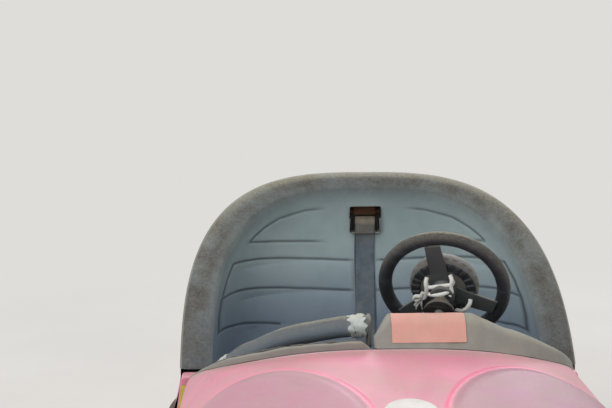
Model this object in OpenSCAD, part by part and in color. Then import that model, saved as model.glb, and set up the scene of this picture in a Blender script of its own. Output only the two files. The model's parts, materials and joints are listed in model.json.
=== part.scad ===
// Two-seat dodgem car with a battery drive and one steered wheel in front.
// The car faces -Y, +X is its left-hand side and +Z is up.
// The origin is on the floor, under the middle of the bumper's outline.

/* [Bumper and chassis] */
// Length over the rubber bumper
car_l = 1950; // [1850:10:2100]
// Width over the rubber bumper
car_w = 1200; // [1160:10:1260]
// Radius of the bumper's outline at the two ends
end_r = 970; // [900:10:1100]
// Radius of the bumper's outline at the four corners
corner_r = 420; // [380:10:450]
// Height of the bumper's lower edge above the floor
bumper_z = 75; // [65:5:90]
// Height of the rubber bumper
bumper_h = 160; // [140:5:175]
// Depth of the rubber bumper, from its face to the steel channel
bumper_d = 95; // [80:5:100]
// Thickness of the steel channel behind the bumper
channel_t = 6; // [4:1:8]
// Height of the floor pan's underside above the floor
pan_z = 118; // [114:1:130]
// Thickness of the floor pan
pan_t = 6; // [4:1:10]

/* [Body] */
// Distance from the bumper's face in to the painted body
body_in = 55; // [45:5:60]
// Height of the plain skirt band over the bumper
skirt_h = 62; // [40:2:70]
// Height of the nose at its rear edge
nose_h = 610; // [580:5:640]
// Drop of the nose's ridge from its rear edge to its front end
brow_drop = 22; // [10:1:40]
// Distance from the car's middle forward to the nose's rear edge
nose_rear = 250; // [220:5:280]
// Distance from the car's middle forward to the front end of the nose's ridge
brow_y = 470; // [430:5:520]
// Distance from the car's middle back to the joint between nose and tub
sill_y = 110; // [100:2:125]
// Wall of the moulded nose and tub
wall = 8; // [6:1:10]
// Height that the two front pods stand proud
pod_rise = 14; // [6:1:18]

/* [Seat] */
// Distance from the bumper's face in to the padded rim of the seat
rim_in = 82; // [80:1:90]
// Height of the seat rim's lower ends
rim_low = 452; // [440:2:470]
// Height of the top of the seat
rim_top = 893; // [860:2:920]
// Distance from the car's middle back to the top of the seat
rim_back = 630; // [600:5:650]
// Width of the rim's face at its sides
rim_face = 78; // [60:2:90]
// Width of the rim's face at the top
rim_face_top = 40; // [32:2:56]
// Height of the seat cushion's top
cushion_z = 360; // [340:5:380]
// Thickness of the seat cushion
cushion_t = 90; // [70:5:110]
// Width of the belt slot in the seat's back
slot_w = 95; // [70:5:110]
// Height of the belt slot
slot_h = 84; // [60:2:90]
// Width of the belt
belt_w = 50; // [40:2:50]

/* [Steering] */
// Outer diameter of the steering wheel
wheel_d = 332; // [300:4:360]
// Thickness of the steering wheel's rim
wheel_tube = 34; // [28:1:38]
// Distance of the steering wheel's centre left of the car's middle
wheel_x = 150; // [140:2:170]
// Height of the steering wheel's centre above the nose
wheel_up = 90; // [82:1:104]
// Angle of the steering column above the horizontal
column_rise = 24.5; // [23:0.5:26]
// Angle that the column turns in towards the car's middle
column_turn = 15; // [14:0.5:17]
// Diameter of the steering shaft
shaft_d = 25; // [20:1:28]
// Diameter of the drive unit's upright spindle
spindle_d = 30; // [24:1:36]

/* [Wheels] */
// Diameter of the driven front wheel
drive_d = 230; // [210:5:240]
// Width of the driven front wheel's tyre
drive_w = 66; // [50:2:70]
// Diameter of a rear wheel
rear_d = 200; // [196:2:208]
// Width of a rear wheel's tyre
rear_w = 55; // [45:1:60]
// Distance of a rear wheel's middle from the bumper's face at the side
rear_in = 215; // [205:5:230]
// Distance from the car's middle back to the rear axle
rear_y = 520; // [480:5:540]
// Diameter of the rear axle
axle_d = 25; // [20:1:25]

/* [Hidden] */
$fn = 48;

// Gap between pieces that sit on each other
gap = 0.3;
// Radial play of a turning fit
play = 0.06;
// Height of the bumper's top and of the nose's and tub's lower edge
bumper_top = bumper_z + bumper_h;
skirt_z = bumper_top + gap;
base_z = skirt_z + skirt_h;
pan_top = pan_z + pan_t;
// Offsets of the channel and the pan from the bumper's face
channel_off = -bumper_d - gap;
pan_off = channel_off - channel_t - gap;

half_l = car_l / 2;
half_w = car_w / 2;
rim_w = car_w - 2 * rim_in;
brow_h = nose_h - brow_drop;
wheel_z = nose_h + wheel_up;
rear_x = half_w - rear_in;

// Footwell: distance of its walls from the bumper's face, its length in front of the nose's rear
// edge and the height of its walls
well_in = 152;
well_l = 80;
well_h = 240;
well_x = half_w - well_in;
well_front = -nose_rear - well_l;

// The bumper's outline: an arc at each end, an arc at each corner, straight sides
corner_x = half_w - corner_r;
end_y = half_l - end_r;
end_a = asin(corner_x / (end_r - corner_r));
corner_y = end_y + (end_r - corner_r) * cos(end_a);

// Point at the fraction f of a quarter outline, from [x, y0] on the left side to the middle of the end
function outline_at(off, y0, f) =
    let (rc = corner_r + off, re = end_r + off, straight = corner_y - y0,
         corner = rc * (90 - end_a) * PI / 180, end = re * end_a * PI / 180,
         s = f * (straight + corner + end))
    s < straight ? [half_w + off, y0 + s] :
    s < straight + corner ?
        let (a = (s - straight) / rc * 180 / PI) [corner_x + rc * cos(a), corner_y + rc * sin(a)] :
        let (a = 90 - end_a + (s - straight - corner) / re * 180 / PI)
        [f >= 1 ? 0 : re * cos(a), end_y + re * sin(a)];

// The whole outline as a polygon's points, n to each quarter
function outline_pts(off, n = 16) =
    let (q = [for (i = [0 : n]) outline_at(off, 0, i / n)])
    concat([for (i = [0 : n]) q[i]], [for (i = [n - 1 : -1 : 0]) [-q[i].x, q[i].y]],
           [for (i = [1 : n]) [-q[i].x, -q[i].y]], [for (i = [n - 1 : -1 : 1]) [q[i].x, -q[i].y]]);

function unit(v) = v / norm(v);
function mix(a, b, t) = a + (b - a) * t;
function smooth(t) = let (u = min(1, max(0, t))) u * u * (3 - 2 * u);
function pow_s(v, p) = sign(v) * pow(abs(v), p);

// Two triangles of the strip between corners a, b, c and d
function quad(a, b, c, d) = [[a, b, c], [a, c, d]];
function flat1(l) = [for (a = l) for (b = a) b];

// A closed solid through rings of points, each with the same count
module loft(rings) {
    m = len(rings[0]);
    n = len(rings);
    sides = flat1([for (i = [0 : n - 2], j = [0 : m - 1])
        quad(i * m + j, (i + 1) * m + j, (i + 1) * m + (j + 1) % m, i * m + (j + 1) % m)]);
    polyhedron(flat1(rings), concat([[for (j = [0 : m - 1]) j]], sides,
        [[for (j = [m : -1 : 1]) (n - 1) * m + j % m]]), convexity = 8);
}

// A round bar of radius r through the points of a path
module sweep_round(path, r, sides = 10) {
    n = len(path);
    loft([for (i = [0 : n - 1])
        let (t = unit(path[min(i + 1, n - 1)] - path[max(i - 1, 0)]),
             side = unit(cross(t, [0, 0.3, 1])), up = cross(side, t))
        [for (j = [0 : sides - 1])
            path[i] + r * (cos(j * 360 / sides) * side + sin(j * 360 / sides) * up)]]);
}

// A ring between two offsets of the outline, from height z up by h
module outline_ring(off_out, off_in, z, h) {
    translate([0, 0, z]) linear_extrude(h) difference() {
        polygon(outline_pts(off_out));
        polygon(outline_pts(off_in));
    }
}

// Steering column: its direction from the gearbox up to the driver, and the points on it
column_dir = [cos(column_rise) * sin(column_turn), cos(column_rise) * cos(column_turn), sin(column_rise)];
wheel_c = [wheel_x, 0, wheel_z];
box_s = wheel_x / column_dir.x;
box_c = wheel_c - box_s * column_dir;
module on_column(s) translate(wheel_c - s * column_dir)
    rotate([0, 90 - column_rise, 90 - column_turn]) children();

// Nose: exponents of its section and of its rear edge, and the point at row f
// and turn t (0 and 180 at the base, 90 on the ridge)
nose_n = 2.8;
nose_m = 2.4;
edge_n = 6;
pod_x = 0.475 * half_w;
pod_rx = 205;
pod_rs = 330;
pod_from_front = 300;
pod_s = half_l - pod_from_front;
pod_pole = [0, 20 - brow_y, skirt_z + 15];

function pod_at(p) =
    let (s = -p.y + 0.6 * (nose_h - 10 - p.z),
         q = norm([(abs(p.x) - pod_x) / pod_rx, (s - pod_s) / pod_rs]))
    pod_rise * smooth((1.12 - q) / 0.22);

function nose_plain(f, t, inset) =
    let (p = outline_at(-body_in - inset, -sill_y, f),
         ys = mix(nose_rear, brow_y, f * f) - inset * f,
         zs = mix(nose_h, brow_h, f) - inset,
         r = pow_s(cos(t), 2 / nose_n), h = pow(max(0, sin(t)), 2 / nose_m),
         k = pow(abs(r) * (1 - (1 - f) * inset / half_w), mix(edge_n, 1, f)))
    [p.x * r, -mix(ys, p.y, k), mix(base_z, zs, h)];

function nose_at(f, t, inset = 0) =
    let (p = nose_plain(f, t, inset), rise = inset == 0 ? pod_at(p) : 0)
    p + rise * unit(p - pod_pole) * smooth((p.z - base_z) / 40);

nose_rows = 22;
nose_cols = 44;
module nose_shell() {
    outer = [for (i = [0 : nose_rows]) [for (j = [0 : nose_cols])
        nose_at(1 - pow(1 - i / nose_rows, 1.15), 180 * j / nose_cols)]];
    inner = [for (i = [0 : nose_rows]) [for (j = [0 : nose_cols])
        nose_at(1 - pow(1 - i / nose_rows, 1.15), 180 * j / nose_cols, wall)]];
    m = nose_cols + 1;
    o2 = m * (nose_rows + 1);
    sheets = flat1([for (i = [0 : nose_rows - 1], j = [0 : nose_cols - 1])
        concat(quad(i * m + j, i * m + j + 1, (i + 1) * m + j + 1, (i + 1) * m + j),
               quad(o2 + i * m + j, o2 + (i + 1) * m + j, o2 + (i + 1) * m + j + 1, o2 + i * m + j + 1))]);
    rear = flat1([for (j = [0 : nose_cols - 1]) quad(j, o2 + j, o2 + j + 1, j + 1)]);
    feet = flat1([for (i = [0 : nose_rows - 1])
        concat(quad(i * m, (i + 1) * m, o2 + (i + 1) * m, o2 + i * m),
               quad(i * m + m - 1, o2 + i * m + m - 1, o2 + (i + 1) * m + m - 1, (i + 1) * m + m - 1))]);
    color("hotpink") polyhedron(concat(flat1(outer), flat1(inner)), concat(sheets, rear, feet),
        convexity = 6);
}

// Seat rim: a rounded arch, leaning back as it rises. a runs from -90 at the right end to 90
rim_n = 3;
function rim_at(a, in_side, in_top) =
    let (c = pow_s(sin(a), 2 / rim_n), s = pow(max(0, cos(a)), 2 / rim_n),
         z = (rim_top - rim_low - in_top) * s)
    [(rim_w / 2 - in_side) * c, sill_y + gap + 12 + (rim_back - sill_y - 12) * pow(z / (rim_top - rim_low), 1.15),
     rim_low + z];

// Tub: from the outline at its foot up to just outside the seat's rim
tub_out = 12;
tub_bulge = 16;
function tub_at(a, v, inset) =
    let (f = 1 - abs(a) / 90, p = outline_at(-body_in - inset, sill_y + gap, f), sx = a < 0 ? -1 : 1,
         e = rim_at(a, inset - tub_out, inset / 2 - tub_out), k = 1 - cos(90 * v), h = sin(90 * v),
         b = tub_bulge * sin(180 * v) * min(1, 0.4 + f))
    [sx * (mix(p.x, abs(e.x), pow(k, 1.2)) + b * cos(90 * f)),
     mix(p.y, max(e.y, sill_y + gap), k) + b * sin(90 * f) * f, mix(base_z, e.z, h)];

module tub_shell() {
    color("hotpink") loft([for (i = [0 : 32]) let (a = 90 - 180 * i / 32)
        concat([for (j = [0 : 8]) tub_at(a, j / 8, 0)], [for (j = [8 : -1 : 0]) tub_at(a, j / 8, wall)])]);
}

// Seat: inside surface from the rim's inner edge down to the foot, and the hidden outside
seat_foot_z = cushion_z - cushion_t;
seat_foot_x = well_x - 28;
seat_foot_y = rim_back - 140;
seat_hollow = 46;
foam = 34;
function foot_at(a, out) =
    [(seat_foot_x + out) * pow_s(sin(a), 0.5),
     sill_y + 12 + gap + (seat_foot_y - sill_y - 12 + out) * pow(max(0, cos(a)), 0.5), seat_foot_z];
function seat_in(a, v) =
    mix(rim_at(a, rim_face, rim_face_top), foot_at(a, 0), v)
    + [0, seat_hollow * sin(180 * pow(v, 0.8)) * pow(max(0, cos(a)), 0.5), 0];
function seat_out(a, v) =
    mix(rim_at(a, 0, 0), foot_at(a, foam), v)
    + [pow_s(sin(a), 0.5) * 6 * sin(180 * v), (seat_hollow + 6) * sin(180 * pow(v, 0.8)) * pow(max(0, cos(a)), 0.5), 0];

slot_z = rim_top - 136;
slot_cut = 200;
module seat_shell() {
    color("slategray") difference() {
        loft([for (i = [0 : 36]) let (a = 90 - 180 * i / 36)
            concat([for (j = [6 : -1 : 0]) seat_out(a, j / 6)], [for (j = [0 : 8]) seat_in(a, j / 8)])]);
        translate([-slot_w / 2, rim_back - 0.6 * slot_cut, slot_z - slot_h / 2]) cube([slot_w, slot_cut, slot_h]);
    }
}

module seat_cushion() {
    color("darkslategray") translate([0, 0, cushion_z - cushion_t]) linear_extrude(cushion_t)
        polygon(concat([for (i = [0 : 16]) let (p = foot_at(90 - 180 * i / 16, -0.8)) [p.x, p.y]]));
}

base_w = 2 * seat_foot_x - 180;
base_l = 330;
base_t = 8;
module seat_base() {
    color("dimgray") translate([0, sill_y + 40, pan_top + gap]) linear_extrude(seat_foot_z - pan_top - 2 * gap)
        difference() {
            translate([-base_w / 2, 0]) square([base_w, base_l]);
            translate([-base_w / 2 + base_t, base_t]) square([base_w - 2 * base_t, base_l - 2 * base_t]);
        }
}

battery_s = [400, 180, 110];
module battery_block() {
    color("black") translate([-battery_s.x / 2, sill_y + 120, pan_top + gap]) cube(battery_s);
}

// Four bolt holes in the pan under the tail, for service parts
bolts_w = 300;
bolts_l = 100;
bolts_y = half_l - 235;
bolt_d = 11;
module floor_pan() {
    color("gray") difference() {
        translate([0, 0, pan_z]) linear_extrude(pan_t) polygon(outline_pts(pan_off));
        translate([box_c.x, box_c.y, pan_z - 1]) cylinder(r = bay_r, h = pan_t + 2, $fn = 96);
        for (s = [0, 1]) mirror([s, 0, 0]) translate([hanger_x - gap, rear_y - rear_d / 2 - 12, pan_z - 1])
            cube([rear_w + 36, rear_d + 24, pan_t + 2]);
        for (x = [-1, 1], y = [-1, 1])
            translate([x * bolts_w / 2, bolts_y + y * bolts_l / 2, pan_z - 1]) cylinder(d = bolt_d, h = pan_t + 2);
    }
}

module bumper_channel() {
    color("dimgray") outline_ring(channel_off, channel_off - channel_t, bumper_z + 12, bumper_h - 24);
}

// Rubber bumper's section, from its face (x = 0) in to the channel
bumper_sec = [[-bumper_d, 0], [-26, 0], [-8, 8], [0, 26], [0, bumper_h - 62], [-6, bumper_h - 46],
    [-24, bumper_h - 33], [-44, bumper_h - 30], [-50, bumper_h - 26], [-46, bumper_h - 20],
    [-38, bumper_h - 12], [-42, bumper_h - 3], [-50, bumper_h], [-bumper_d, bumper_h]];

module bumper_tyre() {
    rings = [for (p = bumper_sec) [for (q = outline_pts(p.x)) [q.x, q.y, bumper_z + p.y]]];
    n = len(rings);
    m = len(rings[0]);
    color("black") polyhedron(flat1(rings), flat1([for (i = [0 : n - 1], j = [0 : m - 1])
        quad(i * m + j, (i + 1) % n * m + j, (i + 1) % n * m + (j + 1) % m, i * m + (j + 1) % m)]),
        convexity = 6);
}

module skirt_band() {
    color("mediumvioletred") outline_ring(-body_in + 4, -body_in - wall, skirt_z, skirt_h - gap);
}

// Front end of each seat wing: a painted thumb that the padded rim stands behind
cap_in = well_x + wall + gap;
cap_out = rim_w / 2 - 10.6;
module sill_caps() {
    color("hotpink") for (s = [0, 1]) mirror([s, 0, 0])
        translate([cap_in, 0, 0]) rotate([90, 0, 90]) linear_extrude(cap_out - cap_in)
            polygon([[sill_y - 42, base_z], [sill_y, base_z], [sill_y, rim_low - 12],
                     [sill_y - 8, rim_low - 4], [sill_y - 22, rim_low - 8], [sill_y - 36, rim_low - 30]]);
}

// Turns a child's +Z along the direction n
module along(n) rotate([0, acos(n.z / norm(n)), atan2(n.y, n.x)]) children();

// A place on the nose at row f and turn t: its children stand out of the surface
module on_nose(f, t) {
    p = nose_at(f, t);
    n = unit(cross(nose_at(f + 0.02, t) - nose_at(f - 0.02, t), nose_at(f, t + 2) - nose_at(f, t - 2)));
    translate(p + gap * (n.z > 0 ? n : -n)) along(n.z > 0 ? n : -n) children();
}

lamp_d = 62;
lamp_rows = [0.66, 0.76, 0.86];
module each_headlamp() for (f = lamp_rows, s = [0, 1]) on_nose(f, s == 0 ? 34 : 146) children();

module lamp_collar(d) {
    rotate_extrude() polygon([[d / 2 + gap, 0], [d / 2 + 8, 0], [d / 2 + 8, 5], [d / 2 + 5, 11],
        [d / 2 + 1.5, 11], [d / 2 + gap, 9]]);
}
module lamp_lens(d) {
    rotate_extrude() polygon(concat([[0, 0], [d / 2, 0], [d / 2, 9]],
        [for (i = [1 : 6]) [d / 2 * cos(15 * i), 9 + 14 * sin(15 * i)]]));
}
module headlamp_collars() color("dimgray") each_headlamp() lamp_collar(lamp_d);
module headlamp_lenses() color("lightgray") each_headlamp() lamp_lens(lamp_d);

tail_a = [24, -24];
tail_v = 0.42;
module each_tail_lamp() for (a = tail_a) {
    p = tub_at(a, tail_v, 0);
    n = unit(cross(tub_at(a, tail_v + 0.03, 0) - tub_at(a, tail_v - 0.03, 0),
                   tub_at(a - 2, tail_v, 0) - tub_at(a + 2, tail_v, 0)));
    translate(p - (n.y > 0 ? n : -n)) along(n.y > 0 ? n : -n) children();
}
module tail_lamp_collars() color("dimgray") each_tail_lamp() lamp_collar(lamp_d);
module tail_lamp_lenses() color("firebrick") each_tail_lamp() lamp_lens(lamp_d);

// Blank number roundel on the nose's ridge
roundel_t = 80;
module nose_roundel() {
    p = nose_at(1, roundel_t);
    d = nose_at(1, roundel_t + 3) - nose_at(1, roundel_t - 3);
    color("white") translate(p + [0, 0, gap]) rotate([atan2(d.z, d.y), 0, 0]) cylinder(d = 100, h = 1.2);
}

// Cowl: a padded hood behind the nose's rear edge, highest round the column
cowl_from = -46;
cowl_to = rim_w / 2 - 14;
hood_to = wheel_x + 35;
hood_end = wheel_x + 135;
function edge_turn(x) = acos(pow(x / (half_w - body_in), nose_n / 2));
function edge_at(x) = let (p = nose_at(0, edge_turn(abs(x)))) [x, p.y, p.z];
function cowl_rise(x) =
    x < 0 ? mix(40, 86, smooth((x - cowl_from) / 40)) :
    x < hood_to ? 86 : x < hood_end ? mix(86, 62, smooth((x - hood_to) / (hood_end - hood_to))) :
    mix(62, 14, (x - hood_end) / (cowl_to - hood_end));

// Foot of the cowl: the nose's edge, but straight in front of the column
function cowl_foot(x) =
    let (e = edge_at(x), flat = edge_at(plate_x) + [x - plate_x, 0, 0])
    mix(e, flat, smooth((x + 30) / 30) * smooth((hood_to + 30 - x) / 30));

// Section of the cowl: its face stands on the nose, its root hangs behind the nose's edge
function cowl_ring(x) =
    let (e = cowl_foot(x), t = edge_at(x), k = cowl_rise(x), d = max(24, k * 0.75))
    [[x, e.y + 1, t.z - 0.1 * max(0, t.y - e.y) + 2 * gap],
     [x, e.y + 0.40 * k, e.z + 0.68 * k], [x, e.y + 0.66 * k, e.z + 0.80 * k],
     [x, e.y + 0.66 * k + 0.5 * d, e.z + 0.74 * k], [x, e.y + 0.66 * k + d, e.z + 0.4 * k],
     [x, e.y + 0.66 * k + d, t.z - 0.9 * k - 8], [x, t.y + 16, t.z - 0.9 * k - 8], [x, t.y + 6, t.z - 10],
     [x, t.y + 5, t.z + gap]];

module cowl_dash() {
    xs = concat([for (i = [0 : 4]) mix(cowl_from, 0, i / 4)], [for (i = [1 : 10]) i * hood_to / 10],
        [for (i = [1 : 5]) mix(hood_to, hood_end, i / 5)], [for (i = [1 : 8]) mix(hood_end, cowl_to, i / 8)]);
    color("gray") difference() {
        loft([for (i = [len(xs) - 1 : -1 : 0]) cowl_ring(xs[i])]);
        on_column(collar_s) cylinder(d = 400, h = 200);
        on_column(collar_s + 300) cylinder(d = shaft_d + 16, h = 400);
    }
}

plate_x = hood_to / 2;
plate_w = hood_to - 25;
module cowl_plate() {
    r = cowl_ring(plate_x);
    a = atan2(r[1].z - r[0].z, r[1].y - r[0].y);
    h = norm(r[1] - r[0]);
    color("salmon") translate(r[0]) rotate([a, 0, 0]) translate([-plate_w / 2, 4, 2 * gap])
        cube([plate_w, h - 8, 1.2]);
}

collar_s = 108;
module column_collar() {
    color("slategray") on_column(collar_s) translate([0, 0, gap]) rotate_extrude()
        polygon([[shaft_d / 2 + play, 0], [38, 0], [38, 10], [31, 10], [31, 20], [25, 20], [25, 34],
                 [shaft_d / 2 + play, 34]]);
}

// Rubber trim along the nose's rear edge, on the passenger's side
trim_d = 14;
module edge_trim() {
    color("black") sweep_round([for (j = [nose_cols - 2 : -1 : nose_cols / 2 + 2])
        let (e = nose_at(0, 180 * j / nose_cols), t = nose_at(0, 180 * (j - 1) / nose_cols) - e)
        e + (trim_d / 2 + 2 * gap) * unit([-t.y, t.x, 0])], trim_d / 2, 8);
}

// Padded grab bar in front of the passenger: from the cowl to the sill, by shares of the way
// across, back and down
bracket_x = cowl_from - 10;
bracket_z = pan_top + well_h + 2 * gap;
bracket_s = [38, 44, 33];
plate_s = [8, 60, 76];
grab_steps = [[0, 0, 0], [0.04, 0, 0], [0.15, 0.04, 0.02], [0.28, 0.12, 0.07], [0.39, 0.19, 0.12], [0.5, 0.28, 0.18],
    [0.6, 0.38, 0.26], [0.7, 0.49, 0.36], [0.8, 0.61, 0.46], [0.88, 0.74, 0.58], [0.946, 0.86, 0.7],
    [0.984, 0.96, 0.81], [1, 1, 0.92], [1, 1, 1]];
grab_from = [bracket_x - gap, 102 - nose_rear, nose_h + 28];
grab_to = [20 - well_x, sill_y - 40, bracket_z + bracket_s.z + gap];
grab_d = 52;
module grab_bar() color("slategray")
    sweep_round([for (k = grab_steps) [for (i = [0 : 2]) mix(grab_from[i], grab_to[i], k[i])]], grab_d / 2, 12);

module grab_brackets() {
    color("gainsboro") {
        translate([bracket_x, grab_from.y - 24, grab_from.z - 48]) cube(plate_s);
        translate([-well_x - wall + gap, grab_to.y - 18, bracket_z]) cube(bracket_s);
    }
}

// Footwell: side walls and a sloping toe board
module footwell_walls() {
    color("dimgray") {
        for (s = [0, 1]) mirror([s, 0, 0]) translate([well_x, well_front, pan_top + gap])
            cube([wall, sill_y - well_front, well_h]);
        translate([-well_x + gap, well_front, pan_top + gap]) rotate([20, 0, 0])
            cube([2 * well_x - 2 * gap, wall, 250]);
    }
}

mat_ribs = 18;
module floor_mat() {
    mat_l = sill_y + 30 - well_front - 30;
    color("black") translate([-well_x + 4, well_front + 20, pan_top + gap]) {
        cube([2 * well_x - 8, mat_l, 3]);
        for (i = [0 : mat_ribs]) translate([30 + i * (2 * well_x - 76) / mat_ribs, 12, 3])
            cube([8, mat_l - 24, 2]);
    }
}

module pedal() {
    color("silver") translate([150, -238, pan_top + gap + 5 + gap]) {
        cube([70, 60, 5], center = false);
        translate([30, 8, 5]) rotate([35, 0, 0]) cube([10, 8, 60]);
        translate([-5, -22, 48]) rotate([55, 0, 0]) cube([80, 110, 8]);
    }
}

// Belt: a flat strap down the middle of the seat's back
belt_t = 3;
belt_path = concat([[0, 12, slot_z + 6], [0, -8, slot_z - 8]], [for (i = [2 : 12]) [0, 0, slot_z - 8 - i * 30]]);
function back_y(z) = let (v = (rim_top - rim_face_top - z) / (rim_top - rim_face_top - seat_foot_z))
    seat_in(0, v).y;
module belt_strap() {
    path = [for (p = belt_path) [0, back_y(p.z) - 1.3 + p.y, p.z]];
    color("slategray") loft([for (i = [len(path) - 1 : -1 : 0]) let (p = path[i])
        [[-belt_w / 2, p.y - belt_t, p.z], [belt_w / 2, p.y - belt_t, p.z], [belt_w / 2, p.y, p.z],
         [-belt_w / 2, p.y, p.z]]]);
}

module belt_anchor() {
    y = back_y(slot_z) + 16;
    color("saddlebrown") {
        translate([-belt_w / 2 - 8, y + 6, slot_z + 10]) cube([belt_w + 16, 4, 26]);
        translate([-slot_w / 2 + gap, y + 14, slot_z + 18]) rotate([0, 90, 0]) cylinder(d = 12, h = slot_w - 2 * gap);
    }
}

// Rear axle, its hangers and wheels
module rear_axle() {
    color("silver") translate([-rear_x - rear_w / 2 - 16, rear_y, rear_d / 2]) rotate([0, 90, 0])
        cylinder(d = axle_d, h = 2 * (rear_x + rear_w / 2 + 16));
}

// Hangers: plates beside the wheels, in the pan's cut-outs
hanger_x = rear_x - rear_w / 2 - 26;
hanger_t = 8;
hanger_l = 60;
module rear_axle_brackets() {
    color("dimgray") for (s = [0, 1]) mirror([s, 0, 0]) translate([hanger_x, rear_y, 0]) difference() {
        translate([0, -hanger_l / 2, rear_d / 2 - 28]) cube([hanger_t, hanger_l, pan_top - rear_d / 2 + 28]);
        translate([-1, 0, rear_d / 2]) rotate([0, 90, 0]) cylinder(d = axle_d + 2 * play, h = hanger_t + 2);
    }
}

// Tyre with rounded shoulders round a rim of radius r_in, axis along X
module tyre(d, w, r_in) {
    r = d / 2;
    rotate([0, 90, 0]) rotate_extrude($fn = 72) polygon([[r_in, -w / 2], [r - 10, -w / 2],
        [r - 4, -w / 2 + 3], [r, -w / 2 + 10], [r, w / 2 - 10], [r - 4, w / 2 - 3],
        [r - 10, w / 2], [r_in, w / 2]]);
}

// Cast hub with a web between rim and boss, bored for its axle
module hub(bore, w, r_out) {
    b = bore / 2 + play;
    rotate([0, 90, 0]) rotate_extrude($fn = 72) polygon([[b, -w / 2 - 4], [b + 12, -w / 2 - 4], [b + 14, -10],
        [r_out - 12, -7], [r_out - 7, -w / 2], [r_out, -w / 2], [r_out, w / 2], [r_out - 7, w / 2],
        [r_out - 12, 7], [b + 14, 10], [b + 12, w / 2 + 4], [b, w / 2 + 4]]);
}

rim_share = 0.62;
module rear_hub(s) color("silver") translate([s * rear_x, rear_y, rear_d / 2])
    hub(axle_d, rear_w, rear_d / 2 * rim_share - 0.1);
module rear_tyre(s) color("black") translate([s * rear_x, rear_y, rear_d / 2])
    tyre(rear_d, rear_w, rear_d / 2 * rim_share);

// Drive unit: a fork on an upright spindle, with the motor on its left cheek
drive_axle_d = 20;
cheek_x = drive_w / 2 + 15;
cheek_t = 10;
crown_z = drive_d + 26;
crown_t = 14;
motor_d = 130;
motor_l = 108;
bay_r = norm([cheek_x + cheek_t + motor_l, motor_d / 2]) + 9;
drive_at = [box_c.x, box_c.y, drive_d / 2];

module drive_fork() {
    color("dimgray") translate([drive_at.x, drive_at.y, 0]) {
        translate([0, 0, crown_z + crown_t]) cylinder(d = spindle_d, h = box_c.z - 25 - crown_z - crown_t);
        translate([-cheek_x - cheek_t, -45, crown_z]) cube([2 * (cheek_x + cheek_t), 90, crown_t]);
        for (s = [0, 1]) mirror([s, 0, 0]) translate([cheek_x, 0, 0]) rotate([90, 0, 90])
            linear_extrude(cheek_t) polygon([[-45, crown_z], [45, crown_z], [26, drive_at.z - 26],
                [-26, drive_at.z - 26]]);
        translate([-cheek_x - 1, 0, drive_at.z]) rotate([0, 90, 0])
            cylinder(d = drive_axle_d, h = 2 * cheek_x + 2);
    }
}

module drive_motor() {
    color("darkgreen") translate([drive_at.x + cheek_x + cheek_t + gap, drive_at.y, drive_at.z + 62])
        rotate([0, 90, 0]) {
            cylinder(d = motor_d, h = motor_l - 30);
            translate([0, 0, motor_l - 30]) cylinder(d = motor_d - 16, h = 24);
        }
}

module drive_wheel_hub() color("silver") translate(drive_at) hub(drive_axle_d, drive_w, drive_d / 2 * rim_share - 0.1);
module drive_wheel_tyre() color("black") translate(drive_at) tyre(drive_d, drive_w, drive_d / 2 * rim_share);

// Bridge over the drive unit, with the spindle's bearing in its top plate
tower_t = 8;
case_down = 50;
tower_z = box_c.z - case_down - gap;
module drive_tower() {
    color("gray") translate([box_c.x, box_c.y, 0]) difference() {
        union() {
            translate([-bay_r - 30, -60, tower_z - tower_t]) cube([2 * bay_r + 60, 120, tower_t]);
            for (s = [0, 1]) mirror([s, 0, 0]) {
                translate([bay_r + 12, -60, pan_top + gap]) cube([tower_t, 120, tower_z - tower_t - pan_top - gap]);
                translate([bay_r + 12, -60, pan_top + gap]) cube([50, 120, tower_t]);
            }
            translate([0, 0, tower_z - tower_t - 16]) cylinder(d = spindle_d + 30, h = 17);
        }
        translate([0, 0, tower_z - tower_t - 17]) cylinder(d = spindle_d + 2 * play, h = tower_t + 18);
    }
}

case_d = 104;
case_h = 92;
neck_l = 92;
module steering_gearbox() {
    color("gray") difference() {
        union() {
            translate(box_c - [0, 0, case_down]) cylinder(d = case_d, h = case_h);
            translate(box_c) along(column_dir) cylinder(d = shaft_d + 34, h = neck_l);
        }
        translate(box_c - [0, 0, case_down + 1]) cylinder(d = spindle_d + 2 * play, h = case_down - 15);
        translate(box_c + 16 * column_dir) along(column_dir) cylinder(d = shaft_d + 2 * play, h = neck_l);
    }
}

module steering_shaft() {
    color("silver") on_column(box_s - 25) cylinder(d = shaft_d, h = box_s - 25 - 48);
}

spoke_turn = 10;
module steering_spokes() {
    color("dimgray") on_column(0) {
        difference() {
            translate([0, 0, -48 + gap]) cylinder(d = 62, h = 36);
            translate([0, 0, -49]) cylinder(d = 8, h = 2);
        }
        for (a = [0, 120, 240]) rotate([0, 0, a + 180 - spoke_turn]) translate([31 - 4, -22, -18])
            cube([wheel_d / 2 - wheel_tube + 3 - 27, 44, 6]);
    }
}

module steering_rim() {
    color("black") on_column(0) rotate_extrude($fn = 96)
        translate([(wheel_d - wheel_tube) / 2, 0]) circle(d = wheel_tube);
}

pad_d = 174;
module steering_pad() {
    color("slategray") on_column(0) translate([0, 0, -12 + gap]) rotate_extrude()
        polygon(concat([[0, 0], [pad_d / 2 - 6, 0], [pad_d / 2, 8]],
            [for (i = [0 : 7]) [pad_d / 2 * pow(cos(i * 90 / 7), 0.5), 16 + 40 * pow(sin(i * 90 / 7), 0.7)]]));
}

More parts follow.
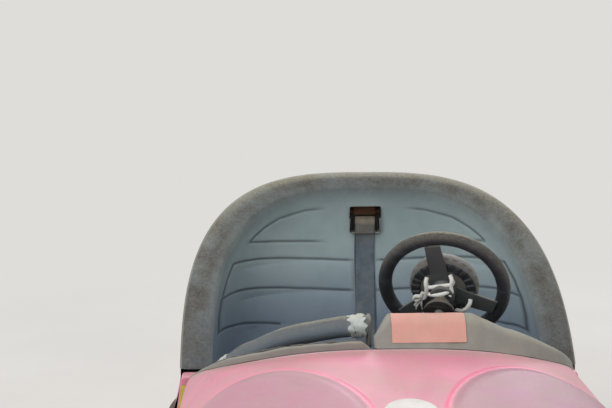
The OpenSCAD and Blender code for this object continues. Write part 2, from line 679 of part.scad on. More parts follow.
floor_pan();
bumper_channel();
bumper_tyre();
skirt_band();
nose_shell();
tub_shell();
sill_caps();
nose_roundel();
headlamp_collars();
headlamp_lenses();
tail_lamp_collars();
tail_lamp_lenses();
cowl_dash();
cowl_plate();
column_collar();
edge_trim();
grab_bar();
grab_brackets();
footwell_walls();
floor_mat();
pedal();
seat_base();
seat_cushion();
seat_shell();
belt_strap();
belt_anchor();
battery_block();
rear_axle();
rear_axle_brackets();
drive_tower();
steering_gearbox();
steering_shaft();
steering_spokes();
steering_rim();
steering_pad();
drive_fork();
drive_motor();
drive_wheel_hub();
drive_wheel_tyre();
rear_hub(1);  // rear_left_hub
rear_tyre(1);  // rear_left_tyre
rear_hub(-1);  // rear_right_hub
rear_tyre(-1);  // rear_right_tyre
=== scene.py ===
import json
from math import asin, pi

import bmesh
import bpy
import numpy as np
from mathutils import Matrix
from numpy import arange, array, asarray, clip, cos, cross, exp, hypot, linspace, maximum, minimum, radians
from numpy import concatenate as join
from numpy import sign, sin, where


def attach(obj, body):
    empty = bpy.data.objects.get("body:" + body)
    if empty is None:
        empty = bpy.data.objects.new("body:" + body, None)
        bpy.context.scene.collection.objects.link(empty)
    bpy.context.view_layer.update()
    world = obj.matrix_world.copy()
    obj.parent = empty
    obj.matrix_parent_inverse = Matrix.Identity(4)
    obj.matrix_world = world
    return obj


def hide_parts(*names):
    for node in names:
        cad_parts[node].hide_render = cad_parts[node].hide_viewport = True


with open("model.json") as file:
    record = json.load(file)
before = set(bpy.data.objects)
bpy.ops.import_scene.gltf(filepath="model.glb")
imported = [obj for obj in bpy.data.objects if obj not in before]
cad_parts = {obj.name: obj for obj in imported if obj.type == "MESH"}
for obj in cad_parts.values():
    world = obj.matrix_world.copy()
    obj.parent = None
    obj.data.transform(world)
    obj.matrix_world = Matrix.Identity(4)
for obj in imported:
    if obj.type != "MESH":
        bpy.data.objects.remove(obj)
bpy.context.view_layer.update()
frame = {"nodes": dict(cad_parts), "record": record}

# Sizes in millimetres, as the frame's part has them

HALF_L, HALF_W = 975.0, 600.0
END_R, CORNER_R = 970.0, 420.0
BUMPER_Z, BUMPER_H = 75.0, 160.0
BODY_IN, SKIRT_H = 55.0, 62.0
NOSE_H, NOSE_REAR, BROW_H, BROW_Y = 614.0, 250.0, 588.0, 470.0
SILL_Y, WALL, POD_RISE, TUB_OUT = 110.0, 8.0, 14.0, 12.0
RIM_W, RIM_LOW, RIM_TOP, RIM_BACK = 1036.0, 452.0, 893.0, 630.0
RIM_FRONT, RIM_FACE, RIM_FACE_TOP = SILL_Y + 12, 78.0, 40.0
CUSHION_Z, CUSHION_T = 360.0, 90.0
SLOT_W, SLOT_H, SLOT_Z, BELT_W = 95.0, 84.0, 757.0, 50.0
WHEEL_D, WHEEL_TUBE = 332.0, 34.0
WHEEL_AT = array([150.0, 0.0, 700.0])
COLUMN_RISE, COLUMN_TURN = radians(24.5), radians(15.0)
GAP = 0.3
SKIRT_Z = BUMPER_Z + BUMPER_H + GAP
BASE_Z = SKIRT_Z + SKIRT_H
WELL_X = 448.0
FOOT_X, FOOT_Y, FOOT_Z = WELL_X - 28, RIM_BACK - 140, CUSHION_Z - CUSHION_T
CORNER_X, END_Y = HALF_W - CORNER_R, HALF_L - END_R
END_A = asin(CORNER_X / (END_R - CORNER_R))
CORNER_Y = END_Y + (END_R - CORNER_R) * cos(END_A)
COLUMN = array([cos(COLUMN_RISE) * sin(COLUMN_TURN),
                   cos(COLUMN_RISE) * cos(COLUMN_TURN), sin(COLUMN_RISE)])
RNG = np.random.default_rng(41)
TAU = 2 * pi


# Arithmetic on whole arrays

def mix(a, b, t):
    """The value the share t of the way from a to b."""
    return a + (b - a) * t


def span(n):
    """n even values from 0 to 1."""
    return linspace(0, 1, n)


def smooth(t):
    """3u^2 - 2u^3 of u = t held between 0 and 1."""
    u = clip(t, 0, 1)
    return u * u * (3 - 2 * u)


def power(v, p):
    """|v| to the power p, with v's sign."""
    return sign(v) * abs(v) ** p


def arch(a, p):
    """The cosine of a, held at 0 or more, to the power p."""
    return maximum(0, cos(a)) ** p


def bump(d, width):
    """A bell of d: 1 at d = 0, nearly 0 one width away."""
    return exp(-(d / width) ** 2 * 2.5)


def pts(x, y, z):
    """Points from their three coordinates, broadcast together."""
    return np.stack(np.broadcast_arrays(x, y, z), -1).astype(float)


def unit(v):
    """Each vector divided by its length."""
    return v / maximum(np.linalg.norm(v, axis=-1, keepdims=True), 1e-9)


def lengths(p):
    """How far along the line through p each of its points is."""
    return join([[0], np.cumsum(np.linalg.norm(np.diff(p, axis=0), axis=1))])


def even(curve, n):
    """n parameters between 0 and 1 at which curve(parameter) advances by equal lengths."""
    u = span(2401)
    s = lengths(curve(u))
    return np.interp(linspace(0, s[-1], n), s, u)


def even_turns(curve, n):
    """n turns between -90 and 90 degrees at which curve(turn) advances by equal lengths."""
    return (even(lambda u: curve(pi * (u - 0.5)), n) - 0.5) * pi


def around(n):
    """n equal turns of a full circle, from 0."""
    return arange(n) * TAU / n


def normals(p):
    """Unit normals of a grid of points: the cross product of its two central differences."""
    return unit(cross(np.gradient(p, axis=0), np.gradient(p, axis=1)))


def waves(p, size, seed):
    """Smooth uneven field near -1 to 1: a sum of seven sines along random directions, waves about size
    long."""
    r = np.random.default_rng(seed)
    k = unit(r.normal(size=(7, 3))) * (TAU / size) * r.uniform(0.6, 1.5, (7, 1))
    return sin(p @ k.T + r.uniform(0, 6.283, 7)).sum(-1) / 7 * 1.6


def line_distance(x, z, path):
    """Distance of (x, z) from the straight runs between the points of path."""
    runs = []
    for (ax, az), (bx, bz) in zip(path[:-1], path[1:]):
        dx, dz = float(bx - ax), float(bz - az)
        t = clip(((x - ax) * dx + (z - az) * dz) / (dx * dx + dz * dz), 0, 1)
        runs.append(hypot(x - ax - t * dx, z - az - t * dz))
    return np.min(runs, axis=0)


# Meshes from arrays: a form is its points with its quads

WELD = 2e-5


def sheet(p, wrap_u=False, wrap_v=False, flip=False):
    """The form of a grid of points: quads between neighbours, joined round along rows or columns where
    asked."""
    nu, nv = p.shape[:2]
    i = arange(nu if wrap_u else nu - 1)[:, None]
    j = arange(nv if wrap_v else nv - 1)[None, :]
    i2, j2 = (i + 1) % nu, (j + 1) % nv
    q = np.stack(np.broadcast_arrays(i * nv + j, i * nv + j2, i2 * nv + j2, i2 * nv + j), -1).reshape(-1, 4)
    return p, q[:, ::-1] if flip else q


def rings(p):
    """The form of a row of closed rings."""
    return sheet(p, wrap_v=True)


def capped(p, middles=None):
    """A row of rings with one more ring at both ends, shrunk to the end's middle."""
    middles = p.mean(1) if middles is None else middles
    first, last = [np.repeat(middles[i][None, None], p.shape[1], 1) for i in (0, -1)]
    return join([first, p, last])


def placed(name, data):
    """A new object in the scene."""
    obj = bpy.data.objects.new(name, data)
    bpy.context.scene.collection.objects.link(obj)
    return obj


def add_mark(mesh, key, value):
    """A number for each of the mesh's points, which the materials read by its name."""
    layer = mesh.attributes.new(key, "FLOAT", "POINT")
    layer.data.foreach_set("value", asarray(value, np.float32).ravel())


def add_piece(name, form, finish, nodes=(), marks=None, body="car", sharp=50):
    """Puts a form (mm) into a new object in metres, welds what coincides, shades it smooth up to the angle
    sharp and gives it its marks, finish, body and slot."""
    mesh = bpy.data.meshes.new(name)
    points = asarray(form[0], float).reshape(-1, 3)
    faces = asarray(form[1], np.int32)
    mesh.vertices.add(len(points))
    mesh.vertices.foreach_set("co", (points * 0.001).astype(np.float32).ravel())
    mesh.loops.add(faces.size)
    mesh.loops.foreach_set("vertex_index", faces.ravel())
    mesh.polygons.add(len(faces))
    mesh.polygons.foreach_set("loop_start", arange(len(faces), dtype=np.int32) * faces.shape[1])
    for key, value in (marks or {}).items():
        add_mark(mesh, key, value)
    mesh.update(calc_edges=True)
    bm = bmesh.new()
    bm.from_mesh(mesh)
    bmesh.ops.remove_doubles(bm, verts=bm.verts, dist=WELD)
    bmesh.ops.dissolve_degenerate(bm, edges=bm.edges, dist=1e-6)
    bmesh.ops.recalc_face_normals(bm, faces=bm.faces)
    bm.to_mesh(mesh)
    bm.free()
    mesh.polygons.foreach_set("use_smooth", np.ones(len(mesh.polygons), bool))
    mesh.set_sharp_from_angle(angle=radians(sharp))
    mesh.materials.append(MATERIALS[finish])
    obj = placed(name, mesh)
    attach(obj, body)
    if nodes:
        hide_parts(*nodes)
    return obj


def merge(forms):
    """Several forms as one, the quads renumbered."""
    points, faces, n = [], [], 0
    for p, q in forms:
        p = asarray(p, float).reshape(-1, 3)
        points.append(p)
        faces.append(asarray(q) + n)
        n += len(p)
    return join(points), join(faces)


def mirrored(form):
    """A form together with its mirror image across the car's middle."""
    return merge([form, (form[0] * [-1, 1, 1], form[1][:, ::-1])])


def moved(form, change):
    """A form with its points changed by a function."""
    return change(form[0]), form[1]


def revolve(profile, n=96):
    """A lathe form: profile's (radius, height) points carried round the axis; radius 0 closes it."""
    a = around(n)[:, None]
    r, h = asarray(profile, float).T[:, None]
    return sheet(pts(r * cos(a), r * sin(a), h), wrap_u=True)


def rounded(corners, radius, steps=4):
    """A profile's corners rounded by radius: each corner becomes a short quadratic curve."""
    c = asarray(corners, float)
    out = [c[0]]
    for a, b, d in zip(c[:-2], c[1:-1], c[2:]):
        cut = min(radius, 0.45 * np.linalg.norm(b - a), 0.45 * np.linalg.norm(d - b))
        p, q = b + cut * unit(a - b), b + cut * unit(d - b)
        t = span(steps + 1)[:, None]
        out.extend((1 - t) ** 2 * p + 2 * t * (1 - t) * b + t * t * q)
    return array(out + [c[-1]])


def rounded_loop(corners, radius, steps=4):
    """The same for a closed profile."""
    c = asarray(corners, float)
    return rounded(join([c[-1:], c, c[:1]]), radius, steps)[1:-1]


def rounded_box(x0, x1, z0, z1, radius, steps):
    """A closed rectangular profile with rounded corners."""
    return rounded_loop([[x0, z0], [x1, z0], [x1, z1], [x0, z1]], radius, steps)


def spline(path, n):
    """n even points on a smooth curve (Catmull-Rom) through path."""
    p = asarray(path, float)
    q = join([2 * p[:1] - p[1:2], p, 2 * p[-1:] - p[-2:-1]])

    def at(u):
        """The curve at u: a cubic through the two points beside it, with the slopes of their neighbours."""
        s = clip(u, 0, 1) * (len(p) - 1)
        i = minimum(s.astype(int), len(p) - 2)
        t = (s - i)[:, None]
        a, b, c, d = q[i], q[i + 1], q[i + 2], q[i + 3]
        return 0.5 * (2 * b + (c - a) * t + (2 * a - 5 * b + 4 * c - d) * t ** 2
                      + (3 * b - a - 3 * c + d) * t ** 3)
    return at(even(at, n))


def tube(path, radius, sides, up=(0, 0.3, 1)):
    """The rings of a tube: circles of radius (one for each point, or one for all) square to the path."""
    t = unit(np.gradient(path, axis=0))
    side = unit(cross(t, array(up, float)))
    top = cross(side, t)
    a = around(sides)[None, :, None]
    r = asarray(radius, float).reshape(-1, 1, 1)
    return path[:, None, :] + r * (cos(a) * side[:, None, :] + sin(a) * top[:, None, :])


# Places and directions

def on_column(p, s=0.0):
    """Points from a lathe's own axes to the steering column: its z runs up the column, s ahead of the
    wheel's centre."""
    ca, sa = cos(pi / 2 - COLUMN_TURN), sin(pi / 2 - COLUMN_TURN)
    cb, sb = cos(pi / 2 - COLUMN_RISE), sin(pi / 2 - COLUMN_RISE)
    m = array([[ca * cb, -sa, ca * sb], [sa * cb, ca, sa * sb], [-sb, 0, cb]])
    return asarray(p, float) @ m.T + WHEEL_AT - s * COLUMN


def standing(p, at, n):
    """Points turned so that their z runs along n, and moved to at."""
    u = unit(cross([0, 0, 1.0], n))
    return p @ np.stack([u, cross(n, u), n]) + at


def frame_on(surface, u, v, du, dv, axis):
    """A point on a surface and its unit normal, from small differences, on the side where the axis
    grows."""
    n = unit(cross(surface(u + du, v) - surface(u - du, v), surface(u, v + dv) - surface(u, v - dv)))
    return surface(u, v), n * (1 if n[axis] > 0 else -1)


def outline_at(off, y0, f):
    """Quarter of the bumper's outline, offset by off: the straight side from y0, the corner's arc, then the
    end's arc, at the share f of their length."""
    off, f = np.broadcast_arrays(asarray(off, float), asarray(f, float))
    rc, re, straight = CORNER_R + off, END_R + off, CORNER_Y - y0
    corner = rc * (pi / 2 - END_A)
    s = f * (straight + corner + re * END_A)
    a, b = (s - straight) / rc, pi / 2 - END_A + (s - straight - corner) / re
    side, turn = s < straight, s < straight + corner
    x = where(side, HALF_W + off, where(turn, CORNER_X + rc * cos(a), re * cos(b)))
    y = where(side, y0 + s, where(turn, CORNER_Y + rc * sin(a), END_Y + re * sin(b)))
    return x, y


def outline_band(section, n=90):
    """A closed section of (offset, height) points carried round the bumper's outline, n places to a
    quarter, counterclockwise from the left side."""
    s = asarray(section, float)
    x, y = outline_at(s[:, :1], 0, span(n + 1)[None, :])
    x = join([x, -x[:, -2::-1], -x[:, 1:], x[:, -2:0:-1]], 1)
    y = join([y, y[:, -2::-1], -y[:, 1:], -y[:, -2:0:-1]], 1)
    return sheet(pts(x, y, s[:, 1:]), wrap_u=True, wrap_v=True)


# Nose, tub and seat as functions of two parameters

POD_X, POD_RX, POD_RS, POD_S = 0.475 * HALF_W, 205.0, 330.0, HALF_L - 300
POD_POLE = array([0, 20 - BROW_Y, SKIRT_Z + 15])
LEAN, RIDGE, BEAD = 0.046, 0.016, 2.6
NOSE_ACROSS, NOSE_UP, PLAN_REAR, PLAN_FRONT = 2.8, 3.0, 6.0, 1.0
TUB_BULGE, SEAT_HOLLOW, BACK_HOLLOW = 16.0, 46.0, 54.0


def pod_share(p):
    """0 at a pod's middle and 1 on its rim: an ellipse in |x| and in the way down the nose."""
    s = -p[..., 1] + 0.6 * (NOSE_H - 10 - p[..., 2])
    return hypot((abs(p[..., 0]) - POD_X) / POD_RX, (s - POD_S) / POD_RS)


def nose_plain(f, t, inset=0.0):
    """The nose without pods: at row f (0 at the rear edge, 1 on the front's middle line) a superelliptic
    arch of exponents 2.8 across and 3 up over the outline, its ridge running forward and down, turned by t
    from one foot over to the other. The rear edge in plan has the exponent 6, which falls to 1 on the
    front, and the flanks lean in by the share LEAN there. The front's middle line is rounded by a
    hyperbola."""
    x, y = outline_at(-BODY_IN - inset, -SILL_Y, f)
    f = 1 - hypot(1 - f, RIDGE)
    back = mix(NOSE_REAR, BROW_Y, f * f) - inset * f
    top = mix(NOSE_H, BROW_H, f) - inset
    r = power(cos(t), 2 / NOSE_ACROSS)
    h = maximum(0, sin(t)) ** (2 / NOSE_UP)
    k = (abs(r) * (1 - (1 - f) * inset / HALF_W)) ** mix(PLAN_REAR, PLAN_FRONT, f)
    lean = 1 - LEAN * smooth(h / 0.3) * (1 - f)
    return pts(x * r * lean, -mix(back, y, k), mix(BASE_Z, top, h))


def nose_at(f, t, inset=0.0):
    """The nose with its two pods, which rise from a common pole, with a bead along their rims. The inner
    skin has no pods."""
    p = nose_plain(f, t, inset)
    if inset:
        return p
    q = pod_share(p)
    rise = POD_RISE * smooth((1.12 - q) / 0.22) + BEAD * bump(q - 1.06, 0.035)
    return p + (rise * smooth((p[..., 2] - BASE_Z) / 40))[..., None] * unit(p - POD_POLE)


def rim_at(a, in_side, in_top):
    """The seat's rim at the turn a: a superelliptic arch of exponent 3 that leans back as it rises."""
    z = (RIM_TOP - RIM_LOW - in_top) * arch(a, 2 / 3)
    back = (z / (RIM_TOP - RIM_LOW)) ** 1.15
    return pts((RIM_W / 2 - in_side) * power(sin(a), 2 / 3),
               RIM_FRONT + GAP + (RIM_BACK - RIM_FRONT) * back, RIM_LOW + z)


def foot_at(a, out):
    """The foot of the seat's well at the turn a: a superelliptic U, grown by out."""
    return pts((FOOT_X + out) * power(sin(a), 0.5),
               RIM_FRONT + GAP + (FOOT_Y - RIM_FRONT + out) * arch(a, 0.5), FOOT_Z)


def seat_in(a, v):
    """The seat's face from the rim's inner edge (v = 0) to its foot (v = 1), hollowed backwards between
    them."""
    p = mix(rim_at(a, RIM_FACE, RIM_FACE_TOP), foot_at(a, 0), v[..., None])
    p[..., 1] += SEAT_HOLLOW * sin(pi * v ** 0.8) * arch(a, 0.5)
    return p


def tub_at(a, v, inset=0.0):
    """The tub's wall from the outline at its foot (v = 0) up to TUB_OUT outside the seat's rim (v = 1): a
    quarter turn in height and its complement inwards, bulged outwards by half a sine."""
    f = 1 - abs(a) / (pi / 2)
    x, y = outline_at(-BODY_IN - inset, SILL_Y + GAP, f)
    e = rim_at(a, inset - TUB_OUT, inset / 2 - TUB_OUT)
    k, h = 1 - cos(pi / 2 * v), sin(pi / 2 * v)
    b = TUB_BULGE * sin(pi * v) * minimum(1, 0.4 + f)
    return pts(where(a < 0, -1, 1) * (mix(x, abs(e[..., 0]), k ** 1.2) + b * cos(pi / 2 * f)),
               mix(y, maximum(e[..., 1], SILL_Y + GAP), k) + b * sin(pi / 2 * f) * f,
               mix(BASE_Z, e[..., 2], h))


# Node trees: a value that is a socket is linked, any other value is set

DUST = (168, 160, 142)
BACKDROP = (222, 221, 218)
MATERIALS = {}


def ink(colour):
    """A colour as it looks on a screen, three numbers of 0 to 255, made linear. Any other value stays as it
    is."""
    if not isinstance(colour, tuple) or len(colour) != 3:
        return colour
    c = array(colour) / 255.0
    c = where(c <= 0.04045, c / 12.92, ((c + 0.055) / 1.055) ** 2.4)
    return (*c.tolist(), 1.0)


class Tree:
    """A node tree; its methods add nodes and give back an output."""

    def __init__(self, tree):
        self.tree = tree

    def put(self, value, socket):
        """Links a value that is a socket, sets any other and leaves out None."""
        if isinstance(value, bpy.types.NodeSocket):
            self.tree.links.new(value, socket)
        elif value is not None:
            socket.default_value = value

    def add(self, kind, out=0, values=(), **settings):
        """A node of that kind with its settings; values go to its inputs by place or by name."""
        node = self.tree.nodes.new("ShaderNode" + kind)
        for key, value in settings.items():
            setattr(node, key, value)
        for key, value in (values.items() if isinstance(values, dict) else enumerate(values)):
            self.put(value, node.inputs[key])
        return node.outputs[out]

    def math(self, kind, a, b=None, c=None, clamp=False):
        """One sum of that kind, held between 0 and 1 if clamp is set."""
        return self.add("Math", 0, (a, b, c), operation=kind, use_clamp=clamp)

    def times(self, a, b):
        """a times b."""
        return self.math("MULTIPLY", a, b)

    def times_plus(self, a, b, c, clamp=False):
        """a times b, plus c."""
        return self.math("MULTIPLY_ADD", a, b, c, clamp)

    def less(self, a, b):
        """a minus b."""
        return self.math("SUBTRACT", a, b)

    def mixed(self, share, a, b):
        """Colour a with the share of colour b."""
        return self.add("Mix", 2, {0: share, 6: ink(a), 7: ink(b)}, data_type="RGBA")

    def over(self, colour, tint, mask, share):
        """The colour with a tint laid over it, by a mask times a share."""
        return self.mixed(self.times(mask, share), colour, tint)

    def ramp(self, value, low, high, to_low=0.0, to_high=1.0):
        """A smooth step from to_low at low to to_high at high."""
        return self.add("MapRange", 0, (value, low, high, to_low, to_high), interpolation_type="SMOOTHSTEP")

    def noise(self, place, scale, detail=3.0, rough=0.55, bend=0.0):
        """Soft random patches of 0 to 1, about 1 / scale metres large."""
        return self.add("TexNoise", 0, {"Vector": place, "Scale": scale, "Detail": detail,
                                        "Roughness": rough, "Distortion": bend})

    def bands(self, place, scale, bend, axis):
        """Waves along an axis, bent by noise."""
        values = {"Vector": place, "Scale": scale, "Distortion": bend}
        return self.add("TexWave", 1, values, bands_direction=axis)

    def object_place(self):
        """The point's object coordinates."""
        return self.add("TexCoord", 3)

    def facing_up(self):
        """The height of the surface's own unit normal."""
        return self.axis(self.add("TexCoord", 1), 2)

    def axis(self, vector, i):
        """The vector's x, y or z for i = 0, 1 or 2."""
        return self.add("SeparateXYZ", i, (vector,))

    def scaled(self, place, size):
        """The place times a size for each axis."""
        return self.add("Mapping", 0, {"Vector": place, "Scale": size})

    def mark(self, name):
        """The piece's own number of that name, 0 where it has none."""
        return self.add("Attribute", 2, attribute_name=name)

    def use(self, name, **values):
        """An effect's output, with its values."""
        return self.add("Group", 0, values, node_tree=EFFECTS[name])

    def seen_directly(self):
        """1 for what the camera sees, also in a mirror or through glass: the greatest of the three rays'
        flags."""
        ray = self.tree.nodes.new("ShaderNodeLightPath").outputs
        seen = self.math("MAXIMUM", ray["Is Camera Ray"], ray["Is Glossy Ray"])
        return self.math("MAXIMUM", seen, ray["Is Transmission Ray"])


def effect(build, **inputs):
    """A node group named after the function that builds it, with float or vector inputs and that function's
    value."""
    group = bpy.data.node_groups.new(build.__name__, "ShaderNodeTree")
    for key, value in inputs.items():
        kind = "NodeSocketVector" if isinstance(value, tuple) else "NodeSocketFloat"
        group.interface.new_socket(key, in_out="INPUT", socket_type=kind).default_value = value
    group.interface.new_socket("Value", in_out="OUTPUT", socket_type="NodeSocketFloat")
    t = Tree(group)
    value = build(t, t.object_place(), group.nodes.new("NodeGroupInput").outputs)
    t.put(value, group.nodes.new("NodeGroupOutput").inputs["Value"])
    return group


def settled_dust(t, place, given):
    """Dust: more on what faces up, broken by large patches and fine specks."""
    level = t.times_plus(t.ramp(t.facing_up(), -0.2, 0.95), given["Upward"], given["Amount"])
    level = t.times_plus(t.less(t.noise(place, given["Patch"], 5.0, 0.62), 0.5), 1.3, level)
    level = t.times_plus(t.less(t.noise(place, 420.0, 2.0, 0.6), 0.5), 0.5, level)
    return t.ramp(level, 0.15, 1.05)


def worn_edge(t, place, given):
    """Wear where the surface turns sharply: the normal of a small bevel compared with the surface's own."""
    soft = t.add("Bevel", 0, {"Radius": given["Width"]}, samples=4)
    same = t.add("VectorMath", 1, (soft, t.add("NewGeometry", 1)), operation="DOT_PRODUCT")
    rough = t.times_plus(t.noise(place, given["Break"], 4.0, 0.7), 0.30, -0.12)
    return t.ramp(t.math("ADD", t.less(1.0, same), rough), 0.05, 0.22)


def vinyl_grain(t, place, given):
    """Leather-like grain: small cells with soft borders, with a slower unevenness under them."""
    cell = t.add("TexVoronoi", 0, {"Vector": place, "Scale": given["Scale"]}, feature="DISTANCE_TO_EDGE")
    return t.times_plus(t.noise(place, 38.0, 3.0, 0.5), given["Unevenness"], t.ramp(cell, 0.0, 0.16))


def scuffs(t, place, given):
    """Rubbed streaks: noise drawn out along one direction, cut off at a level that falls with the share."""
    streak = t.noise(t.scaled(place, given["Stretch"]), 1.0, 4.0, 0.65, 0.4)
    low = t.less(1.02, t.times(given["Share"], 0.5))
    return t.ramp(streak, t.less(low, 0.28), t.less(low, 0.1))


def stains(t, place, given):
    """Large soft stains: slow bent noise, cut off at a middle level."""
    return t.ramp(t.noise(place, given["Scale"], 6.0, 0.6, 0.8), 0.42, 0.72)


EFFECTS = {"dust": effect(settled_dust, Amount=0.5, Upward=0.6, Patch=9.0),
           "edge": effect(worn_edge, Width=0.003, Break=60.0),
           "grain": effect(vinyl_grain, Scale=520.0, Unevenness=0.5),
           "scuff": effect(scuffs, Stretch=(6.0, 60.0, 160.0), Share=0.5),
           "stain": effect(stains, Scale=7.0)}


def begin(name):
    """Starts a material; gives back its tree and the place in the object."""
    MATERIALS[name] = bpy.data.materials.new(name)
    MATERIALS[name].use_nodes = True
    t = Tree(MATERIALS[name].node_tree)
    return t, t.object_place()


def finish(t, colour, roughness, metallic=0.0, height=None, depth=0.0006, strength=1.0, **constants):
    """Ends a material: its Principled BSDF gets the colour, roughness and metallic given, a Bump from
    height in metres times depth, and constants straight on its sockets."""
    inputs = t.tree.nodes["Principled BSDF"].inputs
    t.put(colour, inputs["Base Color"])
    t.put(roughness, inputs["Roughness"])
    t.put(metallic, inputs["Metallic"])
    for key, value in constants.items():
        inputs[key.replace("_", " ")].default_value = value
    if height is not None:
        bumped = t.add("Bump", 0, {"Strength": strength, "Distance": depth, "Height": height})
        t.put(bumped, inputs["Normal"])


def paint(name, base, deep, dusty):
    """Gel-coated paint: slightly mottled, scratched and dusty, stained low down, brighter along the pods'
    beads, with painted shade on the pod at +x."""
    t, place = begin(name)
    colour = t.mixed(t.ramp(t.noise(place, 5.0, 4.0), 0.3, 0.7), base, deep)
    # The pods' mauve darkens towards +x: painted shade on the pod at +x, while the pod at -x stays lighter.
    side = t.ramp(t.axis(place, 0), -0.1, 0.4)
    colour = t.mixed(t.mark("pod"), colour, t.mixed(side, (188, 112, 146), (152, 82, 122)))
    colour = t.mixed(t.mark("crease"), colour, (242, 118, 160))
    dust = t.use("dust", Amount=dusty - 0.35, Upward=0.42, Patch=6.0)
    dust = t.times(dust, t.less(1.0, t.times(t.mark("crease"), 0.7)))
    lip = t.math("MULTIPLY", t.mark("lip"), t.ramp(t.noise(place, 60.0), 0.25, 0.6, 0.55, 1.0), clamp=True)
    dust = t.math("MAXIMUM", t.times(dust, 0.55), lip)
    colour = t.mixed(dust, colour, DUST)
    colour = t.over(colour, (58, 52, 46), t.times(t.use("stain", Scale=9.0), t.mark("low")), 0.55)
    colour = t.over(colour, (150, 116, 124), t.use("scuff", Share=0.4, Stretch=(3.0, 14.0, 30.0)), 0.22)
    colour = t.over(colour, (120, 98, 100), t.ramp(t.noise(place, 230.0, 3.0, 0.7), 0.66, 0.74), 0.45)
    colour = t.over(colour, (0.86, 0.72, 0.74, 1), t.use("edge", Width=0.004, Break=90.0), 0.5)
    rough = t.times_plus(dust, 0.4, t.times_plus(t.noise(place, 9.0, 4.0), 0.25, 0.26))
    height = t.math("ADD", t.noise(place, 26.0, 2.0), t.times(t.noise(place, 700.0, 1.0), 0.06))
    finish(t, colour, rough, height=height, depth=0.0007, Coat_Weight=0.18, Coat_Roughness=0.25)


def vinyl(name, base, deep, dusty, painted_shade_low, grain=520.0, wrinkled=0.0):
    """Vinyl over foam: two tones, darker and bluer low down as painted shade, fine grain, a film of dust,
    soil on the rim that is paler on what faces up (on the steering wheel's top also a painted highlight),
    grooves darkened as painted shade and pale piping."""
    t, place = begin(name)
    colour = t.mixed(t.ramp(t.noise(place, 3.2, 4.0, 0.6), 0.32, 0.68), base, deep)
    # Painted shade: below 0.72 m the colour given for low down takes over, fully below 0.42 m, darkening the
    # seat's well.
    colour = t.over(colour, painted_shade_low, t.ramp(t.axis(place, 2), 0.42, 0.72, 1.0, 0.0), 0.8)
    colour = t.over(colour, (136, 134, 124), t.use("dust", Amount=dusty, Upward=0.35, Patch=3.0), 0.28)
    fleck = t.ramp(t.noise(place, 150.0, 5.0, 0.8), 0.4, 0.62)
    # The rim mark's soil is dust; on the steering wheel's top it is also a painted highlight.
    dust = t.times(t.mark("rim"), t.ramp(t.noise(place, 14.0, 5.0, 0.65), 0.2, 0.7, 0.72, 1.0))
    soil = t.mixed(t.ramp(t.facing_up(), 0.74, 0.94), t.mixed(fleck, (72, 69, 64), (96, 93, 86)),
                   t.mixed(fleck, (118, 113, 96), (148, 142, 122)))
    colour = t.mixed(dust, colour, soil)
    # Grooves, seams, channels and the band under the boss's edge are darkened to near black: painted shade.
    colour = t.over(colour, (34, 42, 48), t.mark("groove_and_shade"), 0.75)
    colour = t.over(colour, (170, 164, 146), t.mark("piping"), 0.6)
    colour = t.over(colour, (150, 160, 160), t.use("scuff", Share=0.5, Stretch=(30.0, 30.0, 60.0)), 0.07)
    rough = t.times_plus(dust, 0.28, t.times_plus(t.noise(place, 11.0), 0.22, 0.32))
    height = t.use("grain", Scale=grain, Unevenness=1.4)
    if wrinkled:
        crease = t.noise(t.scaled(place, (14.0, 14.0, 40.0)), 1.0, 4.0, 0.6, 1.2)
        height = t.times_plus(crease, wrinkled, height)
    finish(t, colour, rough, height=height, depth=0.00045, strength=0.8, Specular_IOR_Level=0.45)


def rubber(name, base, dusty, brown, rough=0.62, grain=260.0):
    """Rubber: nearly black, brown dust on top, pale scuffs, a slightly rough skin."""
    t, place = begin(name)
    dust = t.use("dust", Amount=dusty - 0.2, Upward=0.62, Patch=8.0)
    colour = t.over(base, brown, dust, 0.75)
    colour = t.over(colour, (96, 92, 88), t.use("scuff", Share=0.55, Stretch=(9.0, 9.0, 130.0)), 0.32)
    colour = t.over(colour, (86, 80, 74), t.use("edge", Width=0.003, Break=120.0), 0.35)
    height = t.times_plus(t.noise(place, grain, 3.0, 0.7), 0.5, t.noise(place, 30.0))
    finish(t, colour, t.times_plus(dust, 0.25, rough), height=height, depth=0.0007)


def metal(name, base, roughness, rust, coat=None):
    """Bare or coated metal: brushed unevenness, a coat worn off the edges, rust in patches, dust."""
    t, place = begin(name)
    brushed = t.noise(t.scaled(place, (300.0, 20.0, 300.0)), 1.0, 3.0)
    colour = t.mixed(t.ramp(brushed, 0.3, 0.7, 0.0, 0.35), base, (60, 60, 62))
    share = 1.0
    if coat:
        worn = t.use("edge", Width=0.0025, Break=140.0)
        colour = t.over(coat, (130, 128, 124), worn, 0.8)
        share = t.times(worn, 0.7)
    spots = t.ramp(t.noise(place, 45.0, 6.0, 0.7, 0.5), 0.62 - rust * 0.35, 0.72 - rust * 0.3)
    colour = t.mixed(spots, colour, t.mixed(t.noise(place, 160.0, 3.0), (66, 42, 30), (116, 78, 52)))
    rough = t.math("MAXIMUM", t.times_plus(brushed, 0.2, roughness), t.times(spots, 0.85))
    dust = t.use("dust", Amount=0.05, Upward=0.5, Patch=14.0)
    colour = t.over(colour, (128, 118, 104), dust, 0.6)
    share = t.times(t.times(t.less(1.0, spots), share), t.less(1.0, t.times(dust, 0.6)))
    finish(t, colour, t.times_plus(dust, 0.2, rough, clamp=True), share,
           height=t.noise(place, 240.0, 3.0, 0.6), depth=0.0004)


